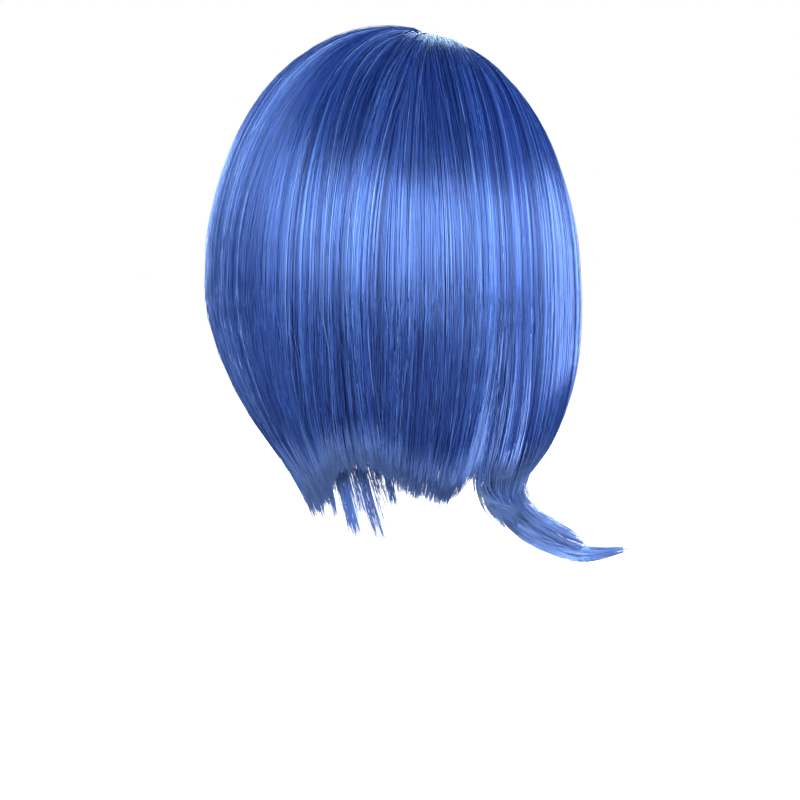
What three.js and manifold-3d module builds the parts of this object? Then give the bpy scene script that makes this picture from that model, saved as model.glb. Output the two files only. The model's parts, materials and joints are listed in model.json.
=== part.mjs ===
// A short costume wig: a stretch net cap with sewn tapes, wefts and adjusters, and the hair it carries.
// Millimetres. +X is the wearer's left, +Y the back of the head, +Z up. The origin is the centre of
// the head-size ring, the level section through the brow that a head is measured round.
import * as THREE from "three";
import { mergeVertices } from "three/addons/utils/BufferGeometryUtils.js";
import Module from "manifold-3d";

const wasm = await Module();
wasm.setup();

// ---------------------------------------------------------------- driving dimensions

// The head the cap is cut for: half an ellipsoid above the ring and a longer half below it.
const HEAD = { halfWidth: 76, halfLength: 96, crown: 115, below: 150 };

// The outside of the hair: a dome down to the widest level, then a skirt that draws in to the neck.
const HAIR = {
  halfWidth: 128,
  halfLength: 124,
  centreY: 8,
  top: 135,
  widestZ: -47,
  bottom: -171,
  fullness: 0.92, // below 1 the dome is squarer than an ellipsoid
  backShift: 24, // the neck sits behind the middle of the head
};
// How the skirt draws in: the share of the width lost at the bottom, and how late that happens.
const DRAW_IN = {
  left: { share: 0.62, power: 1.5 },
  right: { share: 0.17, power: 3 },
  length: { share: 0.46, power: 2.6 },
};
const HAIR_DEPTH = { top: 13, widest: 21, bottom: 10 };
const HAIR_OVER_CAP = 6.5; // nearest the hair comes to the head
const FRINGE_OVER_CAP = 9; // the same for the fringe, so that it lifts clear of the tracks

// The layers of the cap, as distances from the head: [inside, outside].
const LAYER = {
  band: [0, 1.2],
  net: [1.5, 2.3],
  tape: [2.6, 3.4],
  track: [3.7, 5.2],
};
const GAP = 0.8; // clearance between neighbouring hair sections
const DOME_ROWS = 8;
const SKIRT_ROWS = 6;

// The hair is cut into sections that hang from this level.
const HANG_Z = 0;
const FRINGE_Z = 60;
// Seams between the sections, as angles round the head from the back, positive to the wearer's left.
const SEAM = { back: 4, backLeft: 62, backRight: -50, lock: -104, front: 132 };
const SECTION_BOTTOM = { back: -163, left: -172, right: -168, fringe: -8, lock: -104 };

const PARTING = { x: -28, width: 5, depth: 4, backY: 32, frontY: -112, point: 20 };

// The edge of the cap seen from the side, as [y, z], from the forehead to the nape.
const CAP_EDGE = [
  [-120, 38],
  [-62, 34],
  [-44, 22],
  [-40, 6],
  [-12, 6],
  [4, 4],
  [20, -8],
  [32, -30],
  [42, -56],
  [56, -78],
  [130, -85],
];
const CAP_TOP = 160; // above everything
const FAR = 200; // beyond everything, sideways
const BAND_WIDTH = 11;
// How far inside the cap's edge each layer is cut.
const EDGE_INSET = { net: 1, tape: 2, track: 3 };
// The front band ends above the ears, and the nape band starts behind them.
const BAND_ENDS = { front: -41.5, nape: 46, gap: 0.4 };

// The patch of imitation scalp under the parting, and the room that tapes and tracks leave round it.
const SKIN = { halfWidth: 17, frontY: -80, backY: 28, lowZ: 30 };
const SKIN_ROOM = { halfWidth: 19, frontY: -140, backY: 47 };
const STAY_TAPE = { halfWidth: 5, startRadius: 34, turns: { left: 38, centre: 0, right: -38 } };

const TRACK_HEIGHT = 3;
const TRACK_Z = [-71, -56, -41, -26, -11, 5, 21, 38, 56, 74];

// The ear tabs are flat: each hangs in the plane that touches the head at this point.
const TAB = { width: 24, height: 33, corner: 9, x: 73.1, y: -26.1, top: 4.4, yaw: 12.6, clear: 0.4 };
const TAB_LAYERS = { cover: 1.2, stay: 0.6, lining: 0.8, gap: 0.3 };
const STAY = { width: 6, height: 25, corner: 2, drop: 4 };

// The nape adjusters lie on arcs round this upright axis.
const NAPE = { centreY: 20, strapOut: 57.6, strapThick: 1.2, top: -69, bottom: -81 };
const STRAP = { from: 14, to: 54, inset: 1 };
const GRIP_PAD = { from: 15, to: 29, out: 0.3, thick: 0.7, inset: 1.6 };
const SOFT_PAD = { from: 2, to: 32, out: 1.3, thick: 0.7, inset: 0.5 };
const POCKET = { from: 40, to: 55, wall: 0.7, room: 0.4, through: 5 };
const PULL = { from: 10.5, to: 13.6, over: 0.2, halfHeight: 4 };
const BAND_ROOM = { inside: 0.3, outside: 8 };

const LABEL = { width: 26, y: 88.6, thick: 0.4, low: -52, high: -38 };

const NAPE_HAIR = { centreY: 30, top: [49, 54], bottom: [45, 50], topZ: -87, bottomZ: -197 };
const NAPE_HAIR_SPAN = [-46, 34];
const UNDER_HAIR = { halfWidth: 93, halfLength: 99, centreY: 6, depth: 7, top: -2, bottom: -122 };
const UNDER_HAIR_SPAN = [0.5, 98];
const UNDER_TAPER = { drawIn: 0.25, power: 2.4, backShift: 9 };

// The front lock on the wearer's right: its middle line and its half width and half depth there.
const LOCK_PATH = [
  { at: [-104, -40, -70], half: [18, 9] },
  { at: [-101, -38, -98], half: [18, 9] },
  { at: [-89, -34, -135], half: [17, 8.5] },
  { at: [-73, -31, -162], half: [15, 8] },
  { at: [-69, -31, -183], half: [12, 7.5] },
  { at: [-79, -34, -199], half: [10.5, 7.5] },
  { at: [-97, -38, -211], half: [9, 7] },
  { at: [-120, -44, -220], half: [6, 5] },
  { at: [-147, -48, -217], half: [1.6, 1.6] },
];

const ROUND = 36; // segments round the head and the hair
const DEG = Math.PI / 180;

// ---------------------------------------------------------------- materials

const material = (color, roughness, metalness = 0) =>
  new THREE.MeshStandardMaterial({ color, roughness, metalness, flatShading: true });
const HAIR_BLUE = material(0x3f6fd6, 0.42);
const UNDER_BLUE = material(0x2a4fae, 0.5);
const NET_BLUE = material(0x24408c, 0.85);
const TAPE_BLUE = material(0x2c4a9c, 0.8);
const SATIN = material(0x1d2f63, 0.55);
const ELASTIC = material(0x20262f, 0.8);
const SOFT_PILE = material(0x1b2340, 0.95);
const SKIN_TOP = material(0xd9dbe6, 0.6);
const LABEL_WHITE = material(0xf2f2ee, 0.75);
const STAY_STEEL = material(0xb8bcc2, 0.35, 1);

// ---------------------------------------------------------------- solids

// A closed three.js geometry as a manifold solid.
function solid(geometry) {
  const bare = geometry.index ? geometry.toNonIndexed() : geometry.clone();
  for (const name of Object.keys(bare.attributes)) {
    if (name !== "position") bare.deleteAttribute(name);
  }
  const merged = mergeVertices(bare, 1e-3);
  const corners = merged.index.array;
  const whole = [];
  for (let i = 0; i < corners.length; i += 3) {
    const [a, b, c] = [corners[i], corners[i + 1], corners[i + 2]];
    if (a !== b && b !== c && c !== a) whole.push(a, b, c);
  }
  return new wasm.Manifold(
    new wasm.Mesh({
      numProp: 3,
      vertProperties: merged.attributes.position.array,
      triVerts: new Uint32Array(whole),
    }),
  );
}

// A named mesh from a manifold solid.
function mesh(name, body, look) {
  const made = body.getMesh();
  const geometry = new THREE.BufferGeometry();
  geometry.setAttribute("position", new THREE.BufferAttribute(made.vertProperties, 3));
  geometry.setIndex(new THREE.BufferAttribute(made.triVerts, 1));
  geometry.computeVertexNormals();
  const part = new THREE.Mesh(geometry, look);
  part.name = name;
  return part;
}

// A solid turned about the upright axis. profile holds [unit radius, z] from the bottom to the top,
// and place turns (unit x, unit y, z) into a point.
function turned(profile, place, segments = ROUND) {
  const outline = profile.map(([radius, z]) => new THREE.Vector2(radius, z)).reverse();
  const geometry = new THREE.LatheGeometry(outline, segments);
  const position = geometry.attributes.position;
  for (let i = 0; i < position.count; i++) {
    const point = place(position.getX(i), position.getZ(i), position.getY(i));
    position.setXYZ(i, ...point);
  }
  return solid(geometry);
}

// A flat outline drawn as [x, y] and extruded up from z = low to z = high.
function upright(outline, low, high) {
  const shape = new THREE.Shape(outline.map(([x, y]) => new THREE.Vector2(x, y)));
  const geometry = new THREE.ExtrudeGeometry(shape, { depth: high - low, bevelEnabled: false });
  return solid(geometry.translate(0, 0, low));
}

const box = (x0, x1, y0, y1, z0, z1) => upright([[x0, y0], [x1, y0], [x1, y1], [x0, y1]], z0, z1);

// A flat outline drawn as [y, z], the side view, and extruded along X between two values.
function sideways(outline, from = -FAR, to = FAR) {
  const shape = new THREE.Shape(outline.map(([y, z]) => new THREE.Vector2(y, z)));
  const geometry = new THREE.ExtrudeGeometry(shape, { depth: to - from, bevelEnabled: false });
  const turn = new THREE.Matrix4().set(0, 0, 1, from, 1, 0, 0, 0, 0, 1, 0, 0, 0, 0, 0, 1);
  return solid(geometry.applyMatrix4(turn));
}

// A wedge of the space round an upright axis at (0, centreY), between two angles from the back.
function wedge(fromDeg, toDeg, low, high, centreY = HAIR.centreY) {
  const outline = [[0, centreY]];
  const steps = Math.max(2, Math.ceil((toDeg - fromDeg) / 30));
  for (let i = steps; i >= 0; i--) {
    const angle = (fromDeg + ((toDeg - fromDeg) * i) / steps) * DEG;
    outline.push([2 * FAR * Math.sin(angle), centreY + 2 * FAR * Math.cos(angle)]);
  }
  return upright(outline, low, high);
}

// Part of a ring round an upright axis at (0, centreY), drawn with straight facets.
function arcWall(fromDeg, toDeg, inside, outside, low, high, centreY = NAPE.centreY) {
  const steps = Math.max(2, Math.round((toDeg - fromDeg) / 4));
  const along = (radius, i) => {
    const angle = (fromDeg + ((toDeg - fromDeg) * i) / steps) * DEG;
    return [radius * Math.sin(angle), centreY + radius * Math.cos(angle)];
  };
  const outline = [];
  for (let i = 0; i <= steps; i++) outline.push(along(inside, i));
  for (let i = steps; i >= 0; i--) outline.push(along(outside, i));
  return upright(outline.reverse(), low, high);
}

// ---------------------------------------------------------------- the head and the hair as forms

// The head, grown by a distance.
function headForm(grow) {
  const profile = [];
  const rows = 14;
  for (let i = 0; i <= rows; i++) {
    const latitude = -90 * DEG + (180 * DEG * i) / rows;
    const height = latitude > 0 ? HEAD.crown + grow : HEAD.below + grow;
    profile.push([Math.cos(latitude), height * Math.sin(latitude)]);
  }
  return turned(profile, (x, y, z) => [x * (HEAD.halfWidth + grow), y * (HEAD.halfLength + grow), z]);
}

// One layer of the cap all round the head.
const layer = ([inside, outside]) => headForm(outside).subtract(headForm(inside));

const skirtShare = (z) => Math.max(0, (HAIR.widestZ - z) / (HAIR.widestZ - HAIR.bottom));
const drawn = ({ share, power }, z) => 1 - share * skirtShare(z) ** power;
const hairCentreAt = (z) => HAIR.centreY + HAIR.backShift * skirtShare(z) ** 2;
const domeRadius = (latitude) => Math.cos(latitude) ** HAIR.fullness;

// How deep the hair lies at a height.
function hairDepthAt(z) {
  if (z > HAIR.widestZ) {
    const rise = (z - HAIR.widestZ) / (HAIR.top - HAIR.widestZ);
    return HAIR_DEPTH.widest + (HAIR_DEPTH.top - HAIR_DEPTH.widest) * rise;
  }
  return HAIR_DEPTH.widest + (HAIR_DEPTH.bottom - HAIR_DEPTH.widest) * skirtShare(z);
}

// The profile of the dome: unit radii from the widest level up to the given height.
function domeProfile(rows, top) {
  const profile = [];
  for (let i = 0; i < rows; i++) {
    const latitude = (90 * DEG * i) / rows;
    profile.push([domeRadius(latitude), HAIR.widestZ + (top - HAIR.widestZ) * Math.sin(latitude)]);
  }
  return [...profile, [0, top]];
}

// The hair's outside, or with inner its inside, as a closed form.
function hairForm(inner) {
  const low = HAIR.bottom - (inner ? 3 : 2);
  const top = HAIR.top - (inner ? HAIR_DEPTH.top : 0);
  const profile = [[0, low]];
  for (let i = SKIRT_ROWS; i > 0; i--) {
    profile.push([1, HAIR.widestZ + ((low - HAIR.widestZ) * i) / SKIRT_ROWS]);
  }
  profile.push(...domeProfile(DOME_ROWS, top));
  return turned(profile, (x, y, z) => {
    const side = x > 0 ? DRAW_IN.left : DRAW_IN.right;
    const depth = inner ? hairDepthAt(z) : 0;
    const halfWidth = HAIR.halfWidth * drawn(side, z) - depth;
    const halfLength = HAIR.halfLength * drawn(DRAW_IN.length, z) - depth;
    return [x * halfWidth, hairCentreAt(z) + y * halfLength, z];
  });
}

// ---------------------------------------------------------------- hair

const hairOutside = hairForm(false);
const hairMass = hairOutside.subtract(hairForm(true)).subtract(headForm(HAIR_OVER_CAP));
const edge = GAP / 2 / 100 / DEG; // half the gap, as an angle 100 mm out

const section = (fromDeg, toDeg, bottom, top) =>
  hairMass.intersect(wedge(fromDeg + edge, toDeg - edge, bottom, top - GAP / 2));

// The groove where the hair parts.
function partingGroove() {
  const { x, width, depth, frontY, backY, point } = PARTING;
  const plan = [
    [x - width / 2, frontY],
    [x + width / 2, frontY],
    [x + width / 2, backY - point],
    [x, backY],
    [x - width / 2, backY - point],
  ];
  const foot = HAIR.widestZ - 1;
  const profile = [[0, foot], [1, foot], ...domeProfile(DOME_ROWS, HAIR.top - depth)];
  const below = turned(profile, (unitX, unitY, z) => [
    unitX * (HAIR.halfWidth - depth),
    HAIR.centreY + unitY * (HAIR.halfLength - depth),
    z,
  ]);
  return upright(plan, 0, CAP_TOP).subtract(below);
}

function crownHair(side) {
  const far = FAR * side;
  const near = PARTING.x + (side * GAP) / 2;
  const [x0, x1] = side > 0 ? [near, far] : [far, near];
  const half = box(x0, x1, -FAR, FAR, HANG_Z + GAP / 2, CAP_TOP);
  const face = wedge(SEAM.front - edge, 360 - SEAM.front + edge, -FAR, FRINGE_Z + GAP / 2);
  return hairMass.intersect(half).subtract(face).subtract(partingGroove());
}

// A closed tube whose oval section changes along a curve.
function taperedTube(stations) {
  const curve = new THREE.CatmullRomCurve3(stations.map((s) => new THREE.Vector3(...s.at)));
  const lengthwise = 22;
  const around = 12;
  const radii = new THREE.CatmullRomCurve3(stations.map((s) => new THREE.Vector3(...s.half, 0)));
  const points = [];
  for (let i = 0; i <= lengthwise; i++) {
    const t = i / lengthwise;
    const centre = curve.getPoint(t);
    const along = curve.getTangent(t);
    const outward = new THREE.Vector3(-1, -0.25, 0.1);
    const depthWay = outward.addScaledVector(along, -outward.dot(along)).normalize();
    const widthWay = new THREE.Vector3().crossVectors(along, depthWay);
    const half = radii.getPoint(t);
    for (let j = 0; j < around; j++) {
      const angle = (2 * Math.PI * j) / around;
      points.push(
        centre
          .clone()
          .addScaledVector(widthWay, half.x * Math.cos(angle))
          .addScaledVector(depthWay, half.y * Math.sin(angle)),
      );
    }
  }
  const start = points.length;
  points.push(curve.getPoint(0), curve.getPoint(1));
  const index = [];
  const ring = (i, j) => i * around + (j % around);
  for (let j = 0; j < around; j++) {
    for (let i = 0; i < lengthwise; i++) {
      index.push(ring(i, j), ring(i + 1, j), ring(i, j + 1));
      index.push(ring(i, j + 1), ring(i + 1, j), ring(i + 1, j + 1));
    }
    index.push(start, ring(0, j), ring(0, j + 1));
    index.push(start + 1, ring(lengthwise, j + 1), ring(lengthwise, j));
  }
  return solid(new THREE.BufferGeometry().setFromPoints(points).setIndex(index));
}

function frontLock() {
  const upper = section(-SEAM.front, SEAM.lock, SECTION_BOTTOM.lock, HANG_Z);
  return upper.add(taperedTube(LOCK_PATH).subtract(headForm(HAIR_OVER_CAP)));
}

function fringe() {
  const whole = section(SEAM.front, 360 - SEAM.front, SECTION_BOTTOM.fringe, FRINGE_Z);
  return whole.subtract(headForm(FRINGE_OVER_CAP));
}

// Short hair from the lowest weft, lying on the neck.
function napeHair() {
  const { centreY, top, bottom, topZ, bottomZ } = NAPE_HAIR;
  const cone = (low, high, stretch) =>
    turned(
      [
        [0, bottomZ - stretch],
        [low, bottomZ - stretch],
        [high, topZ + stretch],
        [0, topZ + stretch],
      ],
      (x, y, z) => [x, centreY + y, z],
    );
  const sheet = cone(bottom[1], top[1], 0).subtract(cone(bottom[0], top[0], 1));
  return sheet.intersect(wedge(...NAPE_HAIR_SPAN, bottomZ - 5, topZ + 5, centreY));
}

// The hair of the middle wefts, between the cap and the outer hair.
function underHair(fromDeg, toDeg) {
  const { halfWidth, halfLength, centreY, depth, top, bottom } = UNDER_HAIR;
  const form = (inset, stretch) => {
    const rows = 7;
    const profile = [[0, bottom - stretch]];
    for (let i = 0; i <= rows; i++) {
      const z = bottom - stretch + ((top - bottom + 2 * stretch) * i) / rows;
      const share = Math.max(0, Math.min(1, (top - z) / (top - bottom)));
      profile.push([1 - UNDER_TAPER.drawIn * share ** UNDER_TAPER.power, z]);
    }
    profile.push([0, top + stretch]);
    return turned(profile, (x, y, z) => {
      const share = Math.max(0, Math.min(1, (top - z) / (top - bottom)));
      const back = centreY + UNDER_TAPER.backShift * share ** 2;
      return [x * (halfWidth - inset), back + y * (halfLength - inset), z];
    });
  };
  const sheet = form(0, 0).subtract(form(depth, 2)).subtract(headForm(HAIR_OVER_CAP));
  return sheet.intersect(wedge(fromDeg, toDeg, bottom - 5, top + 5, centreY));
}

// ---------------------------------------------------------------- cap

// An open path of [y, z] points moved sideways, towards the inside of the cap.
function pathInset(path, distance) {
  return path.map((point, i) => {
    const before = path[Math.max(0, i - 1)];
    const after = path[Math.min(path.length - 1, i + 1)];
    const run = [after[0] - before[0], after[1] - before[1]];
    const length = Math.hypot(...run);
    return [point[0] - (run[1] / length) * distance, point[1] + (run[0] / length) * distance];
  });
}

const capArea = (inset) =>
  sideways([...pathInset(CAP_EDGE, inset), [140, CAP_TOP], [-140, CAP_TOP]]);
const bandRegion = capArea(0).subtract(capArea(BAND_WIDTH));
const bands = layer(LAYER.band).intersect(bandRegion);

// The part of the bands between two places along Y, on one side or both, and below a height.
function bandPiece(y0, y1, side = 0, top = FAR) {
  const x0 = side > 0 ? 1 : -FAR;
  const x1 = side < 0 ? -1 : FAR;
  return bands.intersect(box(x0, x1, y0, y1, -FAR, top));
}

// The patch of imitation scalp under the parting, seen from above.
function skinTopArea() {
  const { halfWidth, frontY, backY, lowZ } = SKIN;
  const steps = 12;
  const outline = [];
  for (let i = 0; i <= steps; i++) {
    const angle = (180 * DEG * i) / steps;
    outline.push([PARTING.x + halfWidth * Math.cos(angle), backY + halfWidth * Math.sin(angle)]);
  }
  outline.push([PARTING.x - halfWidth, frontY], [PARTING.x + halfWidth, frontY]);
  return upright(outline, lowZ, CAP_TOP);
}

const skinTop = skinTopArea();
const skinRoom = box(
  PARTING.x - SKIN_ROOM.halfWidth,
  PARTING.x + SKIN_ROOM.halfWidth,
  SKIN_ROOM.frontY,
  SKIN_ROOM.backY,
  SKIN.lowZ,
  CAP_TOP,
);

function stayTape(turnDeg) {
  const { halfWidth, startRadius } = STAY_TAPE;
  const strip = box(-halfWidth, halfWidth, startRadius, FAR, -FAR, CAP_TOP).rotate([0, 0, -turnDeg]);
  return layer(LAYER.tape).intersect(capArea(EDGE_INSET.tape)).intersect(strip).subtract(skinRoom);
}

function weftTrack(z) {
  const slab = box(-FAR, FAR, -FAR, FAR, z - TRACK_HEIGHT / 2, z + TRACK_HEIGHT / 2);
  return layer(LAYER.track).intersect(slab).intersect(capArea(EDGE_INSET.track)).subtract(skinRoom);
}

// ---------------------------------------------------------------- ear tabs

// A tab outline hanging from its top edge, in its own plane: across is x, down is -y.
function tabOutline(width, height, corner) {
  const shape = new THREE.Shape();
  shape.moveTo(-width / 2, 0);
  shape.lineTo(-width / 2, -height + corner);
  shape.quadraticCurveTo(-width / 2, -height, -width / 2 + corner, -height);
  shape.lineTo(width / 2 - corner, -height);
  shape.quadraticCurveTo(width / 2, -height, width / 2, -height + corner);
  shape.lineTo(width / 2, 0);
  return shape;
}

function tabSheet(name, look, { width, height, corner, thick, drop = 0 }) {
  const shape = tabOutline(width, height, corner);
  const geometry = new THREE.ExtrudeGeometry(shape, {
    depth: thick,
    bevelEnabled: false,
    curveSegments: 5,
  });
  geometry.translate(0, -drop, 0);
  const sheet = new THREE.Mesh(geometry, look);
  sheet.name = name;
  return sheet;
}

// The tab's sheets are stacked outwards from the head: lining, stay, cover.
function earTab(side, word) {
  const { cover, stay, lining, gap } = TAB_LAYERS;
  const tab = new THREE.Group();
  const sheets = [
    [`ear_tab_lining_${word}`, SATIN, { ...TAB, thick: lining }, 0],
    [`ear_tab_stay_${word}`, STAY_STEEL, { ...STAY, thick: stay }, lining + gap],
    [`ear_tab_cover_${word}`, SOFT_PILE, { ...TAB, thick: cover }, lining + stay + 2 * gap],
  ];
  for (const [name, look, size, out] of sheets) {
    const sheet = tabSheet(name, look, size);
    sheet.position.z = out;
    tab.add(sheet);
  }
  const outward = new THREE.Vector3(side * Math.cos(TAB.yaw * DEG), -Math.sin(TAB.yaw * DEG), 0);
  const up = new THREE.Vector3(0, 0, 1);
  const across = new THREE.Vector3().crossVectors(up, outward);
  tab.setRotationFromMatrix(new THREE.Matrix4().makeBasis(across, up, outward));
  tab.position.set(side * TAB.x, TAB.y, TAB.top).addScaledVector(outward, TAB.clear);
  return tab;
}

// ---------------------------------------------------------------- nape adjusters

const mirrored = (side, fromDeg, toDeg) => (side > 0 ? [fromDeg, toDeg] : [-toDeg, -fromDeg]);

const strapIn = NAPE.strapOut - NAPE.strapThick;
// The head's band layer with a sewing clearance, to trim what lies against it.
const bandRoom = headForm(LAYER.band[1] + BAND_ROOM.outside).subtract(
  headForm(LAYER.band[0] - BAND_ROOM.inside),
);

function strap(side) {
  const { from, to, inset } = STRAP;
  const [a, b] = mirrored(side, from, to);
  return arcWall(a, b, strapIn, NAPE.strapOut, NAPE.bottom + inset, NAPE.top - inset);
}

// A thin pad on the outside of the strap: the gripping pile or the soft pile it takes hold of.
function pad(side, { from, to, out, thick, inset }) {
  const [a, b] = mirrored(side, from, to);
  const inside = NAPE.strapOut + out;
  return arcWall(a, b, inside, inside + thick, NAPE.bottom + inset, NAPE.top - inset);
}

// A sewn tunnel that the strap's far end slides in.
function strapPocket(side) {
  const { from, to, wall, room, through } = POCKET;
  const [a, b] = mirrored(side, from, to);
  const [c, d] = mirrored(side, from - through, to + through);
  const skin = room + wall;
  const outer = arcWall(a, b, strapIn - skin, NAPE.strapOut + skin, NAPE.bottom - 1, NAPE.top + 1);
  const hollow = arcWall(c, d, strapIn - room, NAPE.strapOut + room, NAPE.bottom + 0.3, NAPE.top - 0.3);
  return outer.subtract(hollow).subtract(bandRoom);
}

// The folded end of the strap, to take hold of with two fingers.
function strapPull(side) {
  const { from, to, over, halfHeight } = PULL;
  const [a, b] = mirrored(side, from, to);
  const middle = (NAPE.top + NAPE.bottom) / 2;
  return arcWall(a, b, strapIn - over, NAPE.strapOut + over, middle - halfHeight, middle + halfHeight);
}

function adjuster(side, word) {
  const group = new THREE.Group();
  group.add(mesh(`adjuster_strap_${word}`, strap(side), ELASTIC));
  group.add(mesh(`grip_pad_${word}`, pad(side, GRIP_PAD), SOFT_PILE));
  group.add(mesh(`soft_pad_${word}`, pad(side, SOFT_PAD).subtract(bands), ELASTIC));
  group.add(mesh(`strap_pocket_${word}`, strapPocket(side), SATIN));
  group.add(mesh(`strap_pull_${word}`, strapPull(side), SATIN));
  return group;
}

function blankLabel() {
  const { width, y, thick, low, high } = LABEL;
  return box(-width / 2, width / 2, y, y + thick, low, high);
}

// ---------------------------------------------------------------- assembly

const wig = new THREE.Group();

// Cap: net, perimeter bands, tapes and tracks.
const net = layer(LAYER.net).intersect(capArea(EDGE_INSET.net)).subtract(skinTop);
const earFrom = BAND_ENDS.front + BAND_ENDS.gap;
const earTo = BAND_ENDS.nape - BAND_ENDS.gap;
wig.add(mesh("cap_net", net, NET_BLUE));
wig.add(mesh("skin_top", layer(LAYER.tape).intersect(skinTop), SKIN_TOP));
wig.add(mesh("front_band", bandPiece(-FAR, BAND_ENDS.front), SATIN));
wig.add(mesh("ear_band_left", bandPiece(earFrom, earTo, 1), SATIN));
wig.add(mesh("ear_band_right", bandPiece(earFrom, earTo, -1), SATIN));
wig.add(mesh("nape_band", bandPiece(BAND_ENDS.nape, FAR, 0, 0), ELASTIC));
for (const [word, turn] of Object.entries(STAY_TAPE.turns)) {
  wig.add(mesh(`stay_tape_${word}`, stayTape(turn), TAPE_BLUE));
}
TRACK_Z.forEach((z, i) => {
  wig.add(mesh(`weft_track_${String(i + 1).padStart(2, "0")}`, weftTrack(z), TAPE_BLUE));
});

// Fittings.
wig.add(earTab(1, "left"), earTab(-1, "right"));
wig.add(adjuster(1, "left"), adjuster(-1, "right"));
wig.add(mesh("blank_label", blankLabel(), LABEL_WHITE));

// Hair.
const { back, backLeft, backRight, lock, front } = SEAM;
wig.add(mesh("crown_hair_left", crownHair(1), HAIR_BLUE));
wig.add(mesh("crown_hair_right", crownHair(-1), HAIR_BLUE));
wig.add(mesh("back_hair_left", section(back, backLeft, SECTION_BOTTOM.back, HANG_Z), HAIR_BLUE));
wig.add(mesh("back_hair_right", section(backRight, back, SECTION_BOTTOM.back, HANG_Z), HAIR_BLUE));
wig.add(mesh("side_hair_left", section(backLeft, front, SECTION_BOTTOM.left, HANG_Z), HAIR_BLUE));
wig.add(mesh("side_hair_right", section(lock, backRight, SECTION_BOTTOM.right, HANG_Z), HAIR_BLUE));
wig.add(mesh("front_lock_right", frontLock(), HAIR_BLUE));
wig.add(mesh("fringe", fringe(), HAIR_BLUE));
wig.add(mesh("nape_hair", napeHair(), UNDER_BLUE));
wig.add(mesh("under_hair_left", underHair(...mirrored(1, ...UNDER_HAIR_SPAN)), UNDER_BLUE));
wig.add(mesh("under_hair_right", underHair(...mirrored(-1, ...UNDER_HAIR_SPAN)), UNDER_BLUE));

// The part stands on the origin: the middle of its box, on the floor at the lowest tip.
const extent = new THREE.Box3().setFromObject(wig, true);
const middle = extent.getCenter(new THREE.Vector3());
wig.position.set(-middle.x, -middle.y, -extent.min.z);
const part = new THREE.Group();
part.add(wig);

export default part;
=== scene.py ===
"""A short blue costume wig: strands of hair, net cap, tapes and adjusters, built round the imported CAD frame.

Lengths are worked out in millimetres in the head's own frame (+X the wearer's left, +Y the back of the
head, +Z up, the origin in the middle of the head-size ring) and placed in the row frame, in metres,
by to_row().
"""
import json
import math

import bmesh
import bpy
import numpy as np
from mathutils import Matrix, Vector


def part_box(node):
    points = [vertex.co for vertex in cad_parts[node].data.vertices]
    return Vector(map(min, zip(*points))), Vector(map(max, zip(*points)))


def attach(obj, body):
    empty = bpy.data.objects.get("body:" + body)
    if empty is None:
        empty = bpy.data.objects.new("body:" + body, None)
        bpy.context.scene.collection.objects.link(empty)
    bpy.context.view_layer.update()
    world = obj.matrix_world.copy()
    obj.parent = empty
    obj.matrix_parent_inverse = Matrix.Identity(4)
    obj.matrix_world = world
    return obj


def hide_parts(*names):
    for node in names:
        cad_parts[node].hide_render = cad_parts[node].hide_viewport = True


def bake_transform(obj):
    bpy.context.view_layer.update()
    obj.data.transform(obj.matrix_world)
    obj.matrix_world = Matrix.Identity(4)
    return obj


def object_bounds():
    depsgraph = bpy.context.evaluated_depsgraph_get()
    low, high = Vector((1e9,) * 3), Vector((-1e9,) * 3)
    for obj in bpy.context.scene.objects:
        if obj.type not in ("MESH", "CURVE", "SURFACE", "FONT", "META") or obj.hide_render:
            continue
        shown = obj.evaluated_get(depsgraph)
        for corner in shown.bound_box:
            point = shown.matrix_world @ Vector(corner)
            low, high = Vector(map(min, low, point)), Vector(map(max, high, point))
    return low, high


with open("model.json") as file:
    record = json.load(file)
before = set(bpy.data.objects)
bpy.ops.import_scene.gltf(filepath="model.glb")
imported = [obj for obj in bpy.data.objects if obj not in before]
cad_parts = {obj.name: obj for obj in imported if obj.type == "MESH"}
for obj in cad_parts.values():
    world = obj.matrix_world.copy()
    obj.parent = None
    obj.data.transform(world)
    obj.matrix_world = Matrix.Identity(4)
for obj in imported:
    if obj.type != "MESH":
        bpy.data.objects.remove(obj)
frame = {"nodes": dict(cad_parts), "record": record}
cad_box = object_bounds()

MM = 0.001
PI = math.pi
TINY = 1e-9

# ------------------------------------------------------------------ the head and the hair as forms

HEAD = {"half_width": 76.0, "half_length": 96.0, "crown": 115.0, "below": 150.0}
NET_OUTSIDE = 2.3  # the outside of the net, above the head

HAIR = {
    "half_width": 128.0,
    "half_length": 124.0,
    "centre_y": 8.0,
    "top": 135.0,
    "widest_z": -47.0,
    "bottom": -171.0,
    "fullness": 0.92,
    "back_shift": 24.0,
}
DRAW_IN = {"left": (0.65, 1.8), "right": (0.17, 3.0), "length": (0.46, 2.6)}
LEFT_DRAW_TOP = -30.0
STRAIGHT_FROM = 0.95
HEM_STRAIGHTENS = 0.3  # how much of the drawing in is left in the last tufts
MOST_SKIRT = 1.25  # of the skirt's height, which the longest tufts reach
WHORL = np.array([-28.0, 22.0])
PARTING_FRONT_Y = -76.0

net_low, net_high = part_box("cap_net")
HEAD_CENTRE = np.array([
    (net_low[0] + net_high[0]) / 2 / MM,
    net_high[1] / MM - HEAD["half_length"] - NET_OUTSIDE,
    net_high[2] / MM - HEAD["crown"] - NET_OUTSIDE,
])


def to_row(points):
    """Points of the head's frame, in mm, as points of the row frame, in metres."""
    return (np.asarray(points, float) + HEAD_CENTRE) * MM


def smooth(value, low, high):
    """0 below low and 1 above high, with a smooth rise between."""
    t = np.clip((value - low) / (high - low), 0, 1)
    return t * t * (3 - 2 * t)


def unit(vectors):
    """The same vectors with a length of one."""
    return vectors / (np.linalg.norm(vectors, axis=-1, keepdims=True) + TINY)


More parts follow.
